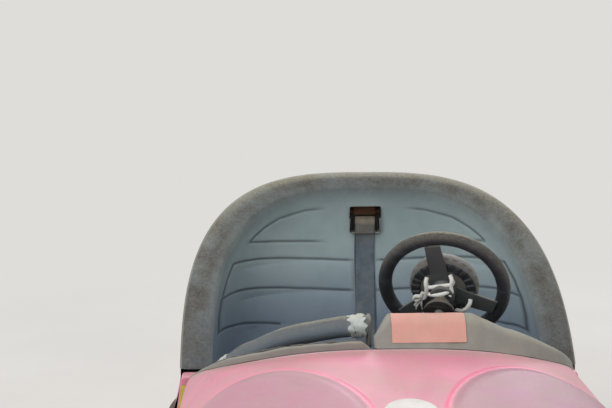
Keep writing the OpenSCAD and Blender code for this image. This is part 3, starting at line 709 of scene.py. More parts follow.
def plastic(name, base, dirt, rough, dusty, grain=180.0):
    """Moulded plastic or a printed skin: faint mottling, dirt in patches, worn edges."""
    t, place = begin(name)
    colour = t.mixed(t.ramp(t.noise(place, 24.0, 4.0), 0.3, 0.75, 0.0, 0.35), base, dirt)
    dust = t.use("dust", Amount=dusty - 0.3, Upward=0.45, Patch=16.0)
    colour = t.over(colour, DUST, dust, 0.65)
    colour = t.over(colour, dirt, t.use("edge", Width=0.002, Break=160.0), 0.35)
    finish(t, colour, t.times_plus(dust, 0.3, rough), height=t.noise(place, grain, 3.0, 0.6), depth=0.0003)


def webbing(name, base, deep):
    """Belt webbing: fine cross threads, dark selvedges by the distance from the middle, dustier higher
    up."""
    t, place = begin(name)
    colour = t.mixed(t.ramp(t.noise(place, 30.0, 4.0), 0.3, 0.7), base, deep)
    colour = t.mixed(t.ramp(t.axis(place, 2), 0.66, 0.78), colour, (104, 94, 80))
    colour = t.over(colour, (46, 54, 62), t.ramp(t.math("ABSOLUTE", t.axis(place, 0)), 0.0255, 0.0285), 0.6)
    colour = t.over(colour, DUST, t.use("dust", Amount=0.25, Upward=0.3, Patch=20.0), 0.5)
    height = t.times_plus(t.bands(place, 90.0, 0.3, "X"), 0.5, t.bands(place, 150.0, 0.6, "Z"))
    finish(t, colour, 0.8, height=height, depth=0.0005)


def lens(name, base):
    """A dusty moulded lens over a pale reflector, ribbed inside."""
    t, place = begin(name)
    rows = t.bands(place, 60.0, 0.0, "Z")
    dust = t.use("dust", Amount=0.3, Upward=0.5, Patch=30.0)
    colour = t.over(t.over(base, (90, 88, 86), rows, 0.25), DUST, dust, 0.7)
    finish(t, colour, t.times_plus(dust, 0.5, 0.16), height=rows, depth=0.0004,
           Coat_Weight=0.6, Coat_Roughness=0.1)


# Each maker with the values of its materials, in their order
FINISHES = {
    paint: [("pink_shell", (224, 130, 158), (212, 120, 150), 0.6),
            ("band_shell", (150, 72, 104), (132, 60, 92), 0.5)],
    rubber: [("bumper_rubber", (30, 29, 29), 0.42, (108, 92, 76)),
             ("trim_rubber", (28, 28, 30), 0.35, (110, 104, 94), 0.5),
             ("tyre_rubber", (34, 34, 34), 0.4, (104, 94, 82), 0.75, 420.0),
             ("mat_rubber", (36, 35, 34), 0.55, (104, 96, 84), 0.7, 420.0)],
    metal: [("wheel_metal", (150, 150, 148), 0.42, 0.25),
            ("bright_steel", (176, 174, 170), 0.3, 0.2),
            ("painted_steel", (70, 72, 74), 0.5, 0.25, (62, 64, 66)),
            ("green_motor", (70, 72, 74), 0.45, 0.1, (44, 84, 62)),
            ("rusty_steel", (120, 100, 84), 0.6, 0.9)],
    # The fourth colour of each vinyl is its painted shade low down.
    vinyl: [("seat_vinyl", (174, 191, 192), (154, 173, 176), 0.1, (114, 129, 152)),
            ("cushion_vinyl", (74, 84, 94), (64, 74, 84), 0.15, (62, 72, 86), 520.0, 2.0),
            ("bar_vinyl", (130, 141, 148), (112, 124, 134), 0.35, (108, 120, 134), 520.0, 2.5),
            ("wheel_grip", (44, 47, 52), (36, 39, 44), 0.12, (40, 44, 50), 340.0),
            ("boss_vinyl", (172, 168, 158), (146, 143, 136), 0.3, (120, 116, 108), 420.0)],
    plastic: [("dash_grey", (140, 139, 132), (112, 110, 102), 0.7, 0.38, 120.0),
              ("plate_salmon", (214, 158, 146), (196, 140, 124), 0.55, 0.25),
              ("wheel_spoke", (74, 76, 78), (54, 56, 58), 0.5, 0.4),
              ("white_fitting", (196, 202, 198), (118, 116, 108), 0.7, 0.3, 90.0),
              ("fitting_grey", (112, 110, 104), (66, 64, 60), 0.7, 0.3, 90.0),
              ("roundel_white", (214, 212, 208), (188, 168, 166), 0.45, 0.2),
              ("sticker_yellow", (196, 190, 74), (150, 140, 70), 0.5, 0.2),
              ("lamp_collar", (62, 60, 60), (40, 38, 38), 0.5, 0.5),
              # Near black for the belt slot's lining: painted shade inside the slot.
              ("liner_black", (52, 51, 50), (36, 35, 34), 0.65, 0.6),
              ("battery_case", (44, 44, 46), (30, 30, 30), 0.55, 0.4),
              ("cord_white", (226, 226, 222), (176, 172, 162), 0.85, 0.05, 900.0)],
    lens: [("lamp_lens", (170, 168, 160)), ("tail_lens", (150, 40, 38))],
    webbing: [("belt_webbing", (86, 98, 110), (106, 118, 128))],
}
for kind, rows in FINISHES.items():
    for row in rows:
        kind(*row)

for part in frame["record"]["subparts"]:
    for one in frame["nodes"][part["node"]].material_slots:
        one.material = MATERIALS[part["material_slot"]]


# Painted body

TUCK = array([0.0, 16.0, -17.0])
SHOULDER_Z, SHOULDER_H, SHOULDER_DROP, DROP_OVER, MIN_SOFT = 590.0, 80.0, 30.0, 60.0, 3.0


def make_nose():
    """Outer skin on an even grid, its rear edge rolled in, and a plainer inner skin."""
    t = even(lambda u: nose_plain(0.25, pi * u), 330)[None, :] * pi
    f = 1 - (1 - span(235)[:, None]) ** 1.1
    outer = nose_at(f, t)
    q = pod_share(nose_plain(f, t))
    roll = span(5)[1:-1, None, None]
    lip = mix(outer[:1], nose_at(np.zeros((1, 1)), t, WALL), roll) + [0, 3.2, 0] * sin(pi * roll)
    inner = nose_at(span(22)[:, None], t, WALL)
    up = outer[..., 2] - BASE_Z
    high = smooth((up - 10) / 40)
    back = np.linalg.norm(outer - outer[:1], axis=-1)
    inside = np.ones((len(inner) + len(lip), t.size))
    marks = {"crease": (bump(q - 1.07, 0.05) * high, 0), "pod": (smooth((1.05 - q) / 0.06) * high, 0),
             "lip": ((1 - smooth((back - 4) / 50)) * 0.6, 0.6), "low": (1 - smooth(up / 90), 1)}
    marks = {key: join([value[::-1], inside * rest]) for key, (value, rest) in marks.items()}
    form = sheet(join([outer[::-1], lip, inner]))
    add_piece("nose_moulding", form, "pink_shell", ["nose_shell"], marks)


def tub_wall(a, v, inset):
    """The tub's wall with its top edge tucked in behind the seat's rim, falling away behind it by an
    exponential and no wider at any height than the rim there (a smooth minimum)."""
    wall = tub_at(a[:, None], v[None, :], inset)
    wall += TUCK * (v ** 6)[None, :, None] * minimum(1, 6 * cos(a))[:, None, None]
    x, y, z = np.moveaxis(wall, -1, 0)
    behind = maximum(0, y - rim_at(a, -TUB_OUT, -TUB_OUT)[:, None, 1])
    z -= SHOULDER_DROP * (1 - exp(-behind / DROP_OVER)) * smooth((v - 0.5) / 0.3)
    corner = smooth((z - SHOULDER_Z) / SHOULDER_H)
    high = (z + 0.2 * minimum(behind, 80) * corner - RIM_LOW) / (RIM_TOP - RIM_LOW)
    lean = mix(HALF_W - BODY_IN, RIM_W / 2, smooth((z - BASE_Z) / (RIM_LOW - 20 - BASE_Z)))
    most = where(z < RIM_LOW, lean, RIM_W / 2 * (1 - clip(high, 0, 0.999) ** 3) ** (1 / 3))
    most = most + mix(6 + 0.05 * behind, -1, corner) - inset
    x[:] = sign(x) * -MIN_SOFT * np.logaddexp(-abs(x) / MIN_SOFT, -most / MIN_SOFT)
    return wall


def make_tub():
    """The tub's outer wall, its rolled top edge, the inner wall and the foot between them."""
    a = even_turns(lambda turn: tub_at(turn, 0.5), 300)
    v = span(90)
    outer, inner = tub_wall(a, v, 0.0), tub_wall(a, v[::-6], WALL)
    roll = span(5)[None, 1:-1, None]
    top = mix(outer[:, -1:], inner[:, :1], roll) + [0, 0, 2.5] * sin(pi * roll)
    p = join([outer, top, inner, mix(inner[:, -1:], outer[:, :1], 0.5)], 1)
    inside = np.ones((len(a), p.shape[1] - len(v)))
    edge = np.linalg.norm(outer - outer[:, -1:], axis=-1)
    marks = {"low": join([1 - smooth((outer[..., 2] - BASE_Z) / 120), 0 * inside], 1),
             "lip": join([1 - smooth(edge / 22), inside], 1) * 0.8}
    add_piece("tub_moulding", rings(p), "pink_shell", ["tub_shell"], marks)


def make_skirt():
    """A band with a rolled lower edge and a small step under the nose."""
    o, top = -BODY_IN, BASE_Z - GAP
    corners = [[o - WALL, SKIRT_Z], [o + 3.2, SKIRT_Z], [o + 4, SKIRT_Z + 4], [o + 4, BASE_Z - 12],
               [o + 1.5, BASE_Z - 8], [o + 1.5, top], [o - WALL, top]]
    form = outline_band(rounded_loop(corners, 2.5))
    add_piece("skirt_moulding", form, "band_shell", ["skirt_band"], {"low": np.ones(form[0].shape[:2])})


def make_bumper():
    """The rubber ring: a rounded face, a groove under a thin upper lip, and a flat back."""
    d, h = 95.0, BUMPER_H
    corners = [[-d, 0], [-26, 0], [-8, 8], [0, 26], [0, h - 62], [-6, h - 46], [-24, h - 33], [-44, h - 30],
               [-50, h - 26], [-46, h - 20], [-38, h - 12], [-42, h - 3], [-50, h], [-d, h]]
    section = rounded_loop(corners, 7, 5) + [0, BUMPER_Z]
    add_piece("bumper_rubber_ring", outline_band(section, 110), "bumper_rubber", ["bumper_tyre"])


make_nose()
make_tub()
make_skirt()
make_bumper()


# Seat

RIM_OVER, RIM_SWELL, GROOVE_W, GROOVE_DEEP, SEAM_PASSES = 8.0, 15.0, 5.0, 3.2, 40
# x and z along each moulded line, on one side
GROOVES = [
    [[343, 709], [300, 701], [220, 694], [112, 689]],
    [[112, 793], [180, 787], [257, 768], [300, 744], [330, 722], [343, 709]],
    [[389, 660], [300, 650], [200, 641], [27, 631]],
    [[420, 579], [300, 563], [200, 552], [29, 542]],
    [[428, 497], [396, 480], [330, 465], [258, 453]],
    [[389, 660], [408, 620], [420, 579], [426, 540], [428, 497]],
]
# Each padded field's foot, half its width and its rise
PADS, PAD_TALL = [[542, 395, 4.0], [453, 400, 3.5]], 89.0


def make_seat():
    """The padded shell: back of the rim, a rounded rim face, a seam, then the hollowed face with its
    moulded lines, all on one grid of turns and depths, with the belt slot left open."""
    a = even_turns(lambda turn: rim_at(turn, 40.0, 30.0), 420)
    turn = a[:, None]
    w = span(26)[None, :]
    swell = RIM_SWELL * sin(pi * w ** 0.8) ** 0.8
    out = unit(pts(sin(turn) * 0.25, -0.75, 0.66 * maximum(0.1, cos(turn))))
    rim = rim_at(turn, mix(-RIM_OVER, RIM_FACE, w), RIM_FACE_TOP * w)
    rim = rim + swell[..., None] * out * [0.6, 0.75, 0.6]
    v = span(165)[None, :]
    face = seat_in(turn, v + 0 * turn)
    x, z = abs(face[..., 0]), face[..., 2]
    # The moulded lines' mask: sunk into the face below, and darkened in the vinyl as painted shade.
    groove_and_shade = np.max([bump(line_distance(x, z, line), GROOVE_W) for line in GROOVES], axis=0)
    groove_and_shade = groove_and_shade * where(z > 684, smooth((x - 104) / 60) * 0.9, smooth((x - 24) / 30))
    n = normals(face)
    n = n * where(n[..., 1:2] > 0, -1, 1)
    lifted = waves(face, 150, 3) * 1.2 + waves(face, 60, 5) * 0.5
    for foot, half, rise in PADS:
        field = sin(pi * clip((z - foot) / PAD_TALL, 0, 1)) ** 0.6
        lifted = lifted + rise * field * smooth((half - x) / 60) * smooth((x - 26) / 20)
    face = face + n * (lifted * smooth(v * 8) - GROOVE_DEEP * groove_and_shade)[..., None]
    down = linspace(1, 0, 24)[None, :-1]
    back = mix(rim_at(turn, 14.0, 14.0) + [0, 20, -12], foot_at(turn, 34.0), down[..., None])
    back[..., 1] += BACK_HOLLOW * sin(pi * down ** 0.8) * arch(turn, 0.5)
    roll = radians([90, 55, 25])[None, :, None]
    lip = mix(rim_at(turn, -RIM_OVER, 0.0), rim_at(turn, 0.0, 6.0) + [0, 18, -8], 1 - cos(roll))
    p = join([back, lip + [0, 5, 3] * sin(2 * roll), rim, face[:, 1:]], 1)
    behind = p.shape[1] - rim.shape[1] - face.shape[1] + 1
    seam = exp(-((arange(p.shape[1]) - behind - rim.shape[1]) / 9.0) ** 2)[None, 1:-1, None]
    for _ in range(SEAM_PASSES):
        p[:, 1:-1] += seam * (0.25 * (p[:, :-2] + p[:, 2:]) - 0.5 * p[:, 1:-1])
    hidden, rest = np.ones((len(a), behind)), 0 * x[:, 1:]
    marks = {"rim": join([hidden * 0.7, 1 - 0.2 * smooth((w - 0.6) / 0.4) + 0 * turn,
                                    0.8 * exp(-v[:, 1:] * 560 / 30) + rest], 1),
             "groove_and_shade": join([hidden * 0, 0 * w + 0 * turn, groove_and_shade[:, 1:]], 1),
             "piping": join([hidden * 0, bump((w - 0.035) * RIM_FACE, 3.0) + 0 * turn, rest], 1)}
    q = sheet(p)[1]
    c = p.reshape(-1, 3)[q].mean(1)
    in_slot = (abs(c[:, 0]) < SLOT_W / 2 - 2) & (abs(c[:, 2] - SLOT_Z) < SLOT_H / 2 - 2)
    add_piece("seat_padding", (p, q[~in_slot]), "seat_vinyl", ["seat_shell"], marks, sharp=70)


make_seat()


# Fittings on the body

CAP_FRONT, CAP_TOP = 68.0, 447.0
STICKER_Z = 356.0, 424.0
COWL_FROM, COWL_TO = -46.0, RIM_W / 2 - 14
HOOD_TO, HOOD_END, HOOD_DEEP = 185.0, 285.0, 86.0
PLATE_X, PLATE_W, PLATE_OFF = 92.5, 160.0, 1.7
TRIM_FROM, TRIM_TO, GRAB_R, SLEEVE_T = 58.0, 497.0, 25.4, 2.0
BRACKET_X, BRACKET_Z, SHOE_X = COWL_FROM - 10, 124 + 240 + 2 * GAP, GAP - WELL_X - WALL
GRAB_FROM = array([BRACKET_X - GAP, 102 - NOSE_REAR, NOSE_H + 28])
GRAB_TO = array([20 - WELL_X, SILL_Y - 40, BRACKET_Z + 33 + GAP])
GRAB_STEPS = array([
    [0, 0, 0], [0.04, 0, 0], [0.15, 0.04, 0.02], [0.28, 0.12, 0.07], [0.39, 0.19, 0.12], [0.5, 0.28, 0.18],
    [0.6, 0.38, 0.26], [0.7, 0.49, 0.36], [0.8, 0.61, 0.46], [0.88, 0.74, 0.58], [0.946, 0.86, 0.7],
    [0.984, 0.96, 0.81], [1, 1, 0.92], [1, 1, 1]])
FAR = 1e3


def soft_block(profile, x0, x1, edge, steps=5):
    """A block: a closed (y, z) profile carried along x, shrunk towards its middle on a quarter circle at
    both ends."""
    middle = profile.mean(0)
    a = linspace(0, pi / 2, steps + 1)
    along, shrink = edge * (1 - cos(a)), edge * (1 - sin(a))
    xs = join([[x0], x0 + along, x1 - along[::-1], [x1]])
    inset = join([[FAR], shrink, shrink[::-1], [FAR]])[:, None, None]
    out = profile - middle
    ring = middle + out * maximum(0, 1 - inset / np.linalg.norm(out, axis=1, keepdims=True))
    return rings(pts(xs[:, None], ring[..., 0], ring[..., 1]))


def make_sill_caps():
    """Painted thumbs in front of the seat's wings: a profile in x and z whose outer side follows the tub's
    end, carried along y with soft edges. Each has a blank yellow sticker on its outer front corner."""
    inner, outer = WELL_X + WALL + GAP, HALF_W - BODY_IN - 4
    side = mix(array([outer, BASE_Z]), array([RIM_W / 2 + 1, CAP_TOP]), span(8)[:, None])
    top = rounded([side[-2], side[-1], [inner, CAP_TOP], [inner, BASE_Z]], 9, 5)[1:-1]
    profile = join([[[inner, BASE_Z]], side[:-1], top])
    block = moved(soft_block(profile, CAP_FRONT, SILL_Y - GAP, 6), lambda p: p[..., [1, 0, 2]])
    form = mirrored(block)
    add_piece("sill_thumbs", form, "pink_shell", ["sill_caps"], {"low": np.full(form[0].size // 3, 0.5)})
    u = span(12)
    z = mix(*STICKER_Z, u)[None, :]
    edge = outer - (z - BASE_Z) / (CAP_TOP - BASE_Z) * 22
    front = pts(edge - 3 - 32 * u[:, None], CAP_FRONT - 0.6 - 0.3 * sin(u * 9)[None, :], z)
    label = merge([sheet(front), sheet(front + [0, 0.8, 0], flip=True)])
    add_piece("sill_stickers", mirrored(label), "sticker_yellow")


def edge_at(x):
    """The nose's rear edge at x: the nose at the turn whose cosine gives that x."""
    p = nose_at(0.0, np.arccos(clip(abs(x) / ((HALF_W - BODY_IN) * (1 - LEAN)), 0, 1) ** 1.4))
    p[..., 0] = x
    return p


def cowl_front(y, z, k):
    """The cowl's front corner and its crest over the edge at y and z, as shares of the depth k."""
    return [y + 0.40 * k, z + 0.68 * k], [y + 0.66 * k, z + 0.80 * k]


def cowl_section(x):
    """The cowl's closed section at each x: face, crest and driver's side, with its corners rounded."""
    t = edge_at(x)
    flat = edge_at(np.full_like(x, PLATE_X))
    e = mix(t[..., 1:], flat[..., 1:], (smooth((x + 30) / 30) * smooth((HOOD_TO + 30 - x) / 30))[:, None])
    k = where(x < 0, mix(40, HOOD_DEEP, smooth((x - COWL_FROM) / 40)),
                 mix(HOOD_DEEP, 62, smooth((x - HOOD_TO) / 100)))
    k = where(x < HOOD_END, k, mix(62, 14, (x - HOOD_END) / (COWL_TO - HOOD_END)))
    y, z, ty, tz = e[:, 0], e[:, 1], t[:, 1], t[:, 2]
    front, crest = cowl_front(y, z, k)
    rear, under = crest[0] + maximum(24, k * 0.75), tz - 0.9 * k - 8
    corners = [[y - 0.5, tz - 0.1 * maximum(0, ty - y) + 2 * GAP], front, crest,
               [mix(crest[0], rear, 0.5), z + 0.74 * k], [rear, z + 0.4 * k], [rear, under], [ty + 16, under],
               [ty + 6, tz - 10], [ty + 5, tz + GAP]]
    sections = array(corners).transpose(2, 0, 1)
    return array([rounded_loop(s, min(26, 0.3 * deep), 6) for s, deep in zip(sections, k)])


def make_cowl():
    """The grey cowl: sections across the car, closed at both ends, with slow unevenness."""
    x = join([linspace(COWL_FROM, 60, 50), linspace(60, HOOD_TO, 30)[1:],
                        linspace(HOOD_TO, COWL_TO, 90)[1:]])
    section = cowl_section(x)
    close = 1 - smooth((x - COWL_FROM) / 12)
    section = mix(section, section.mean(1, keepdims=True), 0.22 * close[:, None, None] ** 2)
    p = pts(x[:, None], section[..., 0], section[..., 1])
    p = capped(p + waves(p, 90, 8)[..., None] * [0, 0.4, 0.6], p.mean(1))
    add_piece("cowl_moulding", rings(p), "dash_grey", ["cowl_dash"], sharp=80)


def make_plate():
    """The blank plate on the cowl: a sheet with rounded ends that follows the cowl's front and crest,
    standing off them by PLATE_OFF and bent a little."""
    y, z = edge_at(array([PLATE_X]))[0, 1:]
    front, crest = cowl_front(y, z, HOOD_DEEP)
    line = rounded([[y, z + 2 * GAP], front, crest, [crest[0] + 33, z + 0.77 * HOOD_DEEP]], 26, 8)
    way = lengths(line)
    across, up = np.meshgrid(linspace(-1, 1, 60), linspace(-1, 1, 60), indexing="ij")
    h = mix(15, 98, (up + 1) / 2)
    y, z = [np.interp(h, way, line[:, i]) for i in (0, 1)]
    dy, dz = [np.interp(h + 1, way, line[:, i]) - at for i, at in ((0, y), (1, z))]
    lift = (PLATE_OFF + 0.25 * sin(across * 7 + up * 3)) / hypot(dy, dz)
    narrow = 1 - 0.025 * smooth((abs(up) - 0.93) / 0.07) ** 2
    front = pts(PLATE_X - 11 + across * narrow * (PLATE_W / 2 + 7), y - dz * lift, z + dy * lift)
    back = front + pts(0, dz, -dy) * 1.6
    add_piece("dash_plate", merge([sheet(front), sheet(back, flip=True)]), "plate_salmon", ["cowl_plate"])


def make_edge_trim():
    """A dusty lip standing on the nose's rear edge on the passenger's side, from the cowl out to the sill,
    and the rubber bead behind it: rounded sections carried along the edge, with an uneven top."""
    count = 150
    x = linspace(TRIM_FROM, TRIM_TO, count)
    e = edge_at(-x)
    share = smooth((x - 50) / 30) * (1 - 0.75 * smooth((x - 380) / 110))
    back = unit(cross([0, 0, 1.0], unit(np.gradient(e, axis=0))))
    back = back * sign(back[:, 1:2])
    section = rounded_loop([[0.3, 0.5], [9, 0.5], [11, 17], [4, 19], [1, 15]], 2.5)
    tall = share * (1 + 0.09 * waves(e, 60, 21))
    lip = e[:, None] + section[None, :, :1] * back[:, None]
    lip[..., 2] += section[None, :, 1] * tall[:, None]
    add_piece("edge_lip", rings(capped(lip)), "dash_grey")
    ragged = waves(e, 18, 22) * 1.4 + waves(e, 50, 23) * 1.6
    path = e + back * 13 + pts(0, 0, 17 * share - 2 + ragged)
    i = arange(count)
    size = (4.6 + 0.8 * waves(e, 12, 24)) * smooth((i + 3) / 12) * smooth((count + 2 - i) / 12)
    add_piece("edge_bead", rings(capped(tube(path, size, 18), path)), "trim_rubber", ["edge_trim"])


def make_grab_bar():
    """A padded bar: a round tube with shallow folds across its bends, pinched where the fittings hold it,
    and its two fittings."""
    count, sides = 260, 64
    path = spline(mix(GRAB_FROM, GRAB_TO, GRAB_STEPS), count)
    s = span(count)[:, None]
    p = tube(path, GRAB_R, sides)
    bends = bump(s - 0.9, 0.14) + bump(s - 0.06, 0.05)
    fold = 0.8 * sin(s * 190 + 1.4 * sin(3 * around(sides))) * bends
    pinch = -2.2 * (bump(s - 0.035, 0.02) + bump(s - 0.965, 0.015))
    p = capped(p + (fold + pinch + 0.9 * waves(p, 80, 12))[..., None] * unit(p - path[:, None]), path)
    up = unit(p - join([path[:1], path, path[-1:]])[:, None])[..., 2]
    bar = add_piece("grab_padding", rings(p), "bar_vinyl", ["grab_bar"], {"rim": clip(up, 0, 1) * 0.85})
    sleeves = []
    for low, high, seed in ((0.012, 0.075, 3), (0.755, 0.835, 4)):
        line = path[int(low * (count - 1)):int(high * (count - 1)) + 1]
        ring = tube(line, GRAB_R + SLEEVE_T, 48)
        ragged = waves(ring, 14, seed) * 1.6 + waves(ring, 34, seed + 9) * 2.0
        ring = ring + ragged[..., None] * unit(ring - line[:, None])
        for end, other in ((0, 1), (-1, -2)):
            torn = waves(ring[end], 16, seed + 2)[:, None] * 8 * unit(line[end] - line[other])
            ring[end] += torn
            ring[other] += torn * 0.5
        under = line[:, None] + unit(ring - line[:, None]) * (GRAB_R - 0.4)
        sleeves.append(sheet(join([ring, under[::-1]]), wrap_u=True, wrap_v=True))
    add_piece("grab_sleeves", merge(sleeves), "white_fitting")
    plate = rounded_box(GRAB_FROM[1] - 24, GRAB_FROM[1] + 36, 590, 666, 14, 6)
    shoe = rounded_box(GRAB_TO[1] - 18, GRAB_TO[1] + 26, BRACKET_Z, BRACKET_Z + 33, 8, 5)
    fittings = [soft_block(plate, BRACKET_X, BRACKET_X + 8, 2.5), soft_block(shoe, SHOE_X, SHOE_X + 38, 4)]
    add_piece("grab_fittings", merge(fittings), "fitting_grey", ["grab_brackets"])


make_sill_caps()
make_cowl()
make_plate()
make_edge_trim()
make_grab_bar()


# Steering

SPOKE_TURN, TEETH, COLLAR_AHEAD, CORD_R = radians(170), 22, 108.0, 5.2
# The cord's runs: rows of how far right and up a point lies and its depth on the column
STRANDS = [
    [[-46, 1, -24], [-40, 0, -33], [-20, 4, -34], [2, 8, -34], [14, 10, -33], [19, 11, -24], [12, 10, -8]],
    [[-49, -13, -26], [-42, -15, -36], [-24, -10, -48], [-6, -5, -50], [8, -2, -44], [15, -1, -30]],
    [[-46, 19, -22], [-48, 10, -31], [-46, -4, -36], [-49, -22, -36], [-56, -30, -34]],
    [[12, 26, -20], [17, 20, -31], [15, 6, -35], [17, -6, -40], [12, -12, -46]],
    [[-56, -14, -34], [-62, -26, -36], [-70, -34, -36], [-78, -32, -34], [-74, -24, -36], [-62, -22, -38]],
    [[26, -58, -30], [40, -54, -38], [52, -46, -40], [60, -36, -36], [62, -28, -28]],
]


def make_wheel():
    """The rim, a ring with a seam line inside and fine ribs, and three spokes with the hub, turned about
    the column."""
    count, sides = 240, 48
    a, b = around(count)[:, None], around(sides)[None, :]
    seam = (b - pi) * 17
    r = WHEEL_TUBE / 2 * (1 + 0.03 * cos(2 * b)) - 0.25 * (cos(a * 60) > 0.995) - 0.9 * bump(seam, 2.2)
    big = (WHEEL_D - WHEEL_TUBE) / 2
    wide = big + r * cos(b)
    ring = on_column(pts(wide * cos(a), wide * sin(a), r * sin(b)))
    facing = unit(ring - on_column(pts(big * cos(a), big * sin(a), 0)))[..., 2]
    # Pale soil on the wheel's upper, upward-facing side: dust, and a painted highlight on its top.
    dusty = smooth((facing + 0.5) / 1.1) * smooth((ring[..., 2] - WHEEL_AT[2] + 60) / 120)
    # The seam line inside the rim is darkened in the vinyl: painted shade.
    add_piece("wheel_rim", sheet(ring, True, True), "wheel_grip", ["steering_rim"],
              {"rim": dusty, "groove_and_shade": bump(seam, 3) * 0.7 + 0 * a}, "steering")
    section = rounded_loop([[-22, -18], [22, -18], [22, -12], [-22, -12]], 2.4)
    u = span(40)[:, None]
    wide = 1 + 0.16 * (1 - smooth(u / 0.3)) - 0.1 * smooth((u - 0.5) / 0.5)
    spoke = capped(pts(mix(20, WHEEL_D / 2 - WHEEL_TUBE + 4, u), section[:, 0] * wide,
                       section[:, 1] - 2.0 * sin(pi * u)))
    hub = [[0, -47.7], [27, -47.7], [31, -44], [31, -20], [40, -16], [40, -12], [0, -12]]
    parts = [revolve(rounded(hub, 2.5))]
    for turn in SPOKE_TURN + around(3):
        c, s = cos(turn), sin(turn)
        parts.append(rings(spoke @ array([[c, s, 0], [-s, c, 0], [0, 0, 1]])))
    add_piece("wheel_arms", moved(merge(parts), on_column), "wheel_spoke", ["steering_spokes"],
              body="steering", sharp=35)


def make_boss():
    """The padded boss with notches below its edge, the toothed ring behind it, and the stepped collar on
    the column: lathe forms."""
    dome = [[0, -11.7], [80, -11.7], [86.5, -6], [87, 4], [87, 16], [84, 26], [76, 34.5], [62, 40],
            [40, 43.4], [0, 44.2]]
    p, q = revolve(rounded(dome, 7, 5), 144)
    notch = sin(np.arctan2(p[..., 1], p[..., 0]) * TEETH) > 0.1
    notch = notch * smooth((p[..., 2] + 12) / 3) * (1 - smooth((p[..., 2] - 1) / 3))
    p = p - unit(p * [1, 1, 0]) * notch[..., None] * 2.2
    low = 1 - smooth((p[..., 2] - 4) / 8)
    # The band under the boss's edge is darkened in the vinyl as painted shade; its top gets soil.
    pad = add_piece("boss_pad", (on_column(p), q), "boss_vinyl", ["steering_pad"],
                    {"groove_and_shade": low * 0.6, "rim": (1 - low) * 0.25}, "steering")
    band = [[58, -12.4], [60, -17.5], [78, -17.5], [81, -14], [81, -11.0], [58, -11.0]]
    p, q = revolve(rounded(band, 1.6), 132)
    tooth = (sin(np.arctan2(p[..., 1], p[..., 0]) * TEETH) > 0.0) * (p[..., 2] < -13)
    add_piece("boss_back_ring", (on_column(p + [0, 0, 3.5] * tooth[..., None]), q), "wheel_grip",
              body="steering", sharp=30)
    steps = rounded([[12.56, 0], [38, 0], [38, 10], [31, 10.5], [31, 20], [25, 20.5], [25, 33], [24, 34],
                     [12.56, 34]], 1.6, 3)
    p, q = revolve(join([steps, steps[:1]]))
    add_piece("column_rings", (on_column(p + [0, 0, GAP], COLLAR_AHEAD), q), "trim_rubber", ["column_collar"],
              sharp=35)


def make_lashing():
    """White cord: two slanted turns round the upper spoke, loops at its sides, and a frayed knot
    beside the hub, as tubes along smooth curves."""
    def cord(rows, radius, sides):
        """A closed tube along a smooth curve through the rows, brought to the column."""
        r = array(rows, float)
        path = on_column(spline(np.stack([-r[:, 1] * 1.21 - 20, -r[:, 0] - 7, r[:, 2]], -1), 80))
        return rings(capped(tube(path, radius, sides, (0.1, 0.2, 1)), path))

    cords = [cord(rows, CORD_R, 14) for rows in STRANDS]
    for _ in range(9):
        r = RNG.uniform(-1, 1, 3)
        base = array([-66 + 8 * r[0], -30 + 5 * r[1], -36])
        tip = base + [-8 + 12 * r[2], -20 - 7 * r[0], 3 * r[1]]
        cords.append(cord([base, (base + tip) / 2 + [2 * r[1], 1, -2], tip], linspace(2.4, 1.2, 80), 8))
    add_piece("spoke_lashing", merge(cords), "cord_white", body="steering")


make_wheel()
make_boss()
make_lashing()


# Belt, cushion and lamps

BELT_LONG, BELT_WIDER = 378.0, 10.0
CUSHION_Y, VOXEL, PRESSURE, FRAMES, PUSH_CAP = 300.0, 0.009, 4.0, 20, 0.012
TAIL_TURNS, TAIL_UP = (24, -24), 0.42
LAMP_ROWS, LAMP_TURNS = (0.66, 0.76, 0.86), (34, 146)
ROUNDEL_R, ROUNDEL_TURN = 57.0, 80.8


def back_y(z):
    """How far back the seat's face is at height z on the middle line."""
    v = (RIM_TOP - RIM_FACE_TOP - z) / (RIM_TOP - RIM_FACE_TOP - FOOT_Z)
    return seat_in(np.zeros_like(v), v)[..., 1]


def make_belt():
    """A flat strap down the middle of the seat's back: a thin rounded section along the back's own curve,
    and the lining of the slot that it comes from, near black as painted shade inside the slot."""
    z = SLOT_Z + 8 - BELT_LONG * span(200)[:, None]
    away = mix(6, -4.5, smooth((SLOT_Z + 8 - z) / 24)) - 1.5 * exp(-((z - 560) / 90) ** 2)
    a = around(36)
    x = (BELT_W + BELT_WIDER) / 2 * power(cos(a), 0.25)
    y = back_y(z) + away + 1.4 * power(sin(a), 0.5) + 0.9 * sin(z / 75) * x / 25
    strap = capped(pts(x + 1.6 * sin(z / 60), y, z))
    add_piece("belt_webbing_strap", rings(strap), "belt_webbing", ["belt_strap"])
    half_w, half_h = SLOT_W / 2 - 1, SLOT_H / 2 - 1
    box = rounded_box(-half_w, half_w, -half_h, half_h, 7, 5)
    depth = array([-10.0, 10, 24, 38, 40])[:, None]
    shrink = array([1.0, 1, 0.98, 0.96, 0.0])[:, None]
    lining = pts(box[:, 0] * shrink, back_y(array(SLOT_Z)) + depth, SLOT_Z + box[:, 1] * shrink)
    # The lining is near black: painted shade inside the belt slot.
    add_piece("slot_shade_lining", rings(lining), "liner_black")


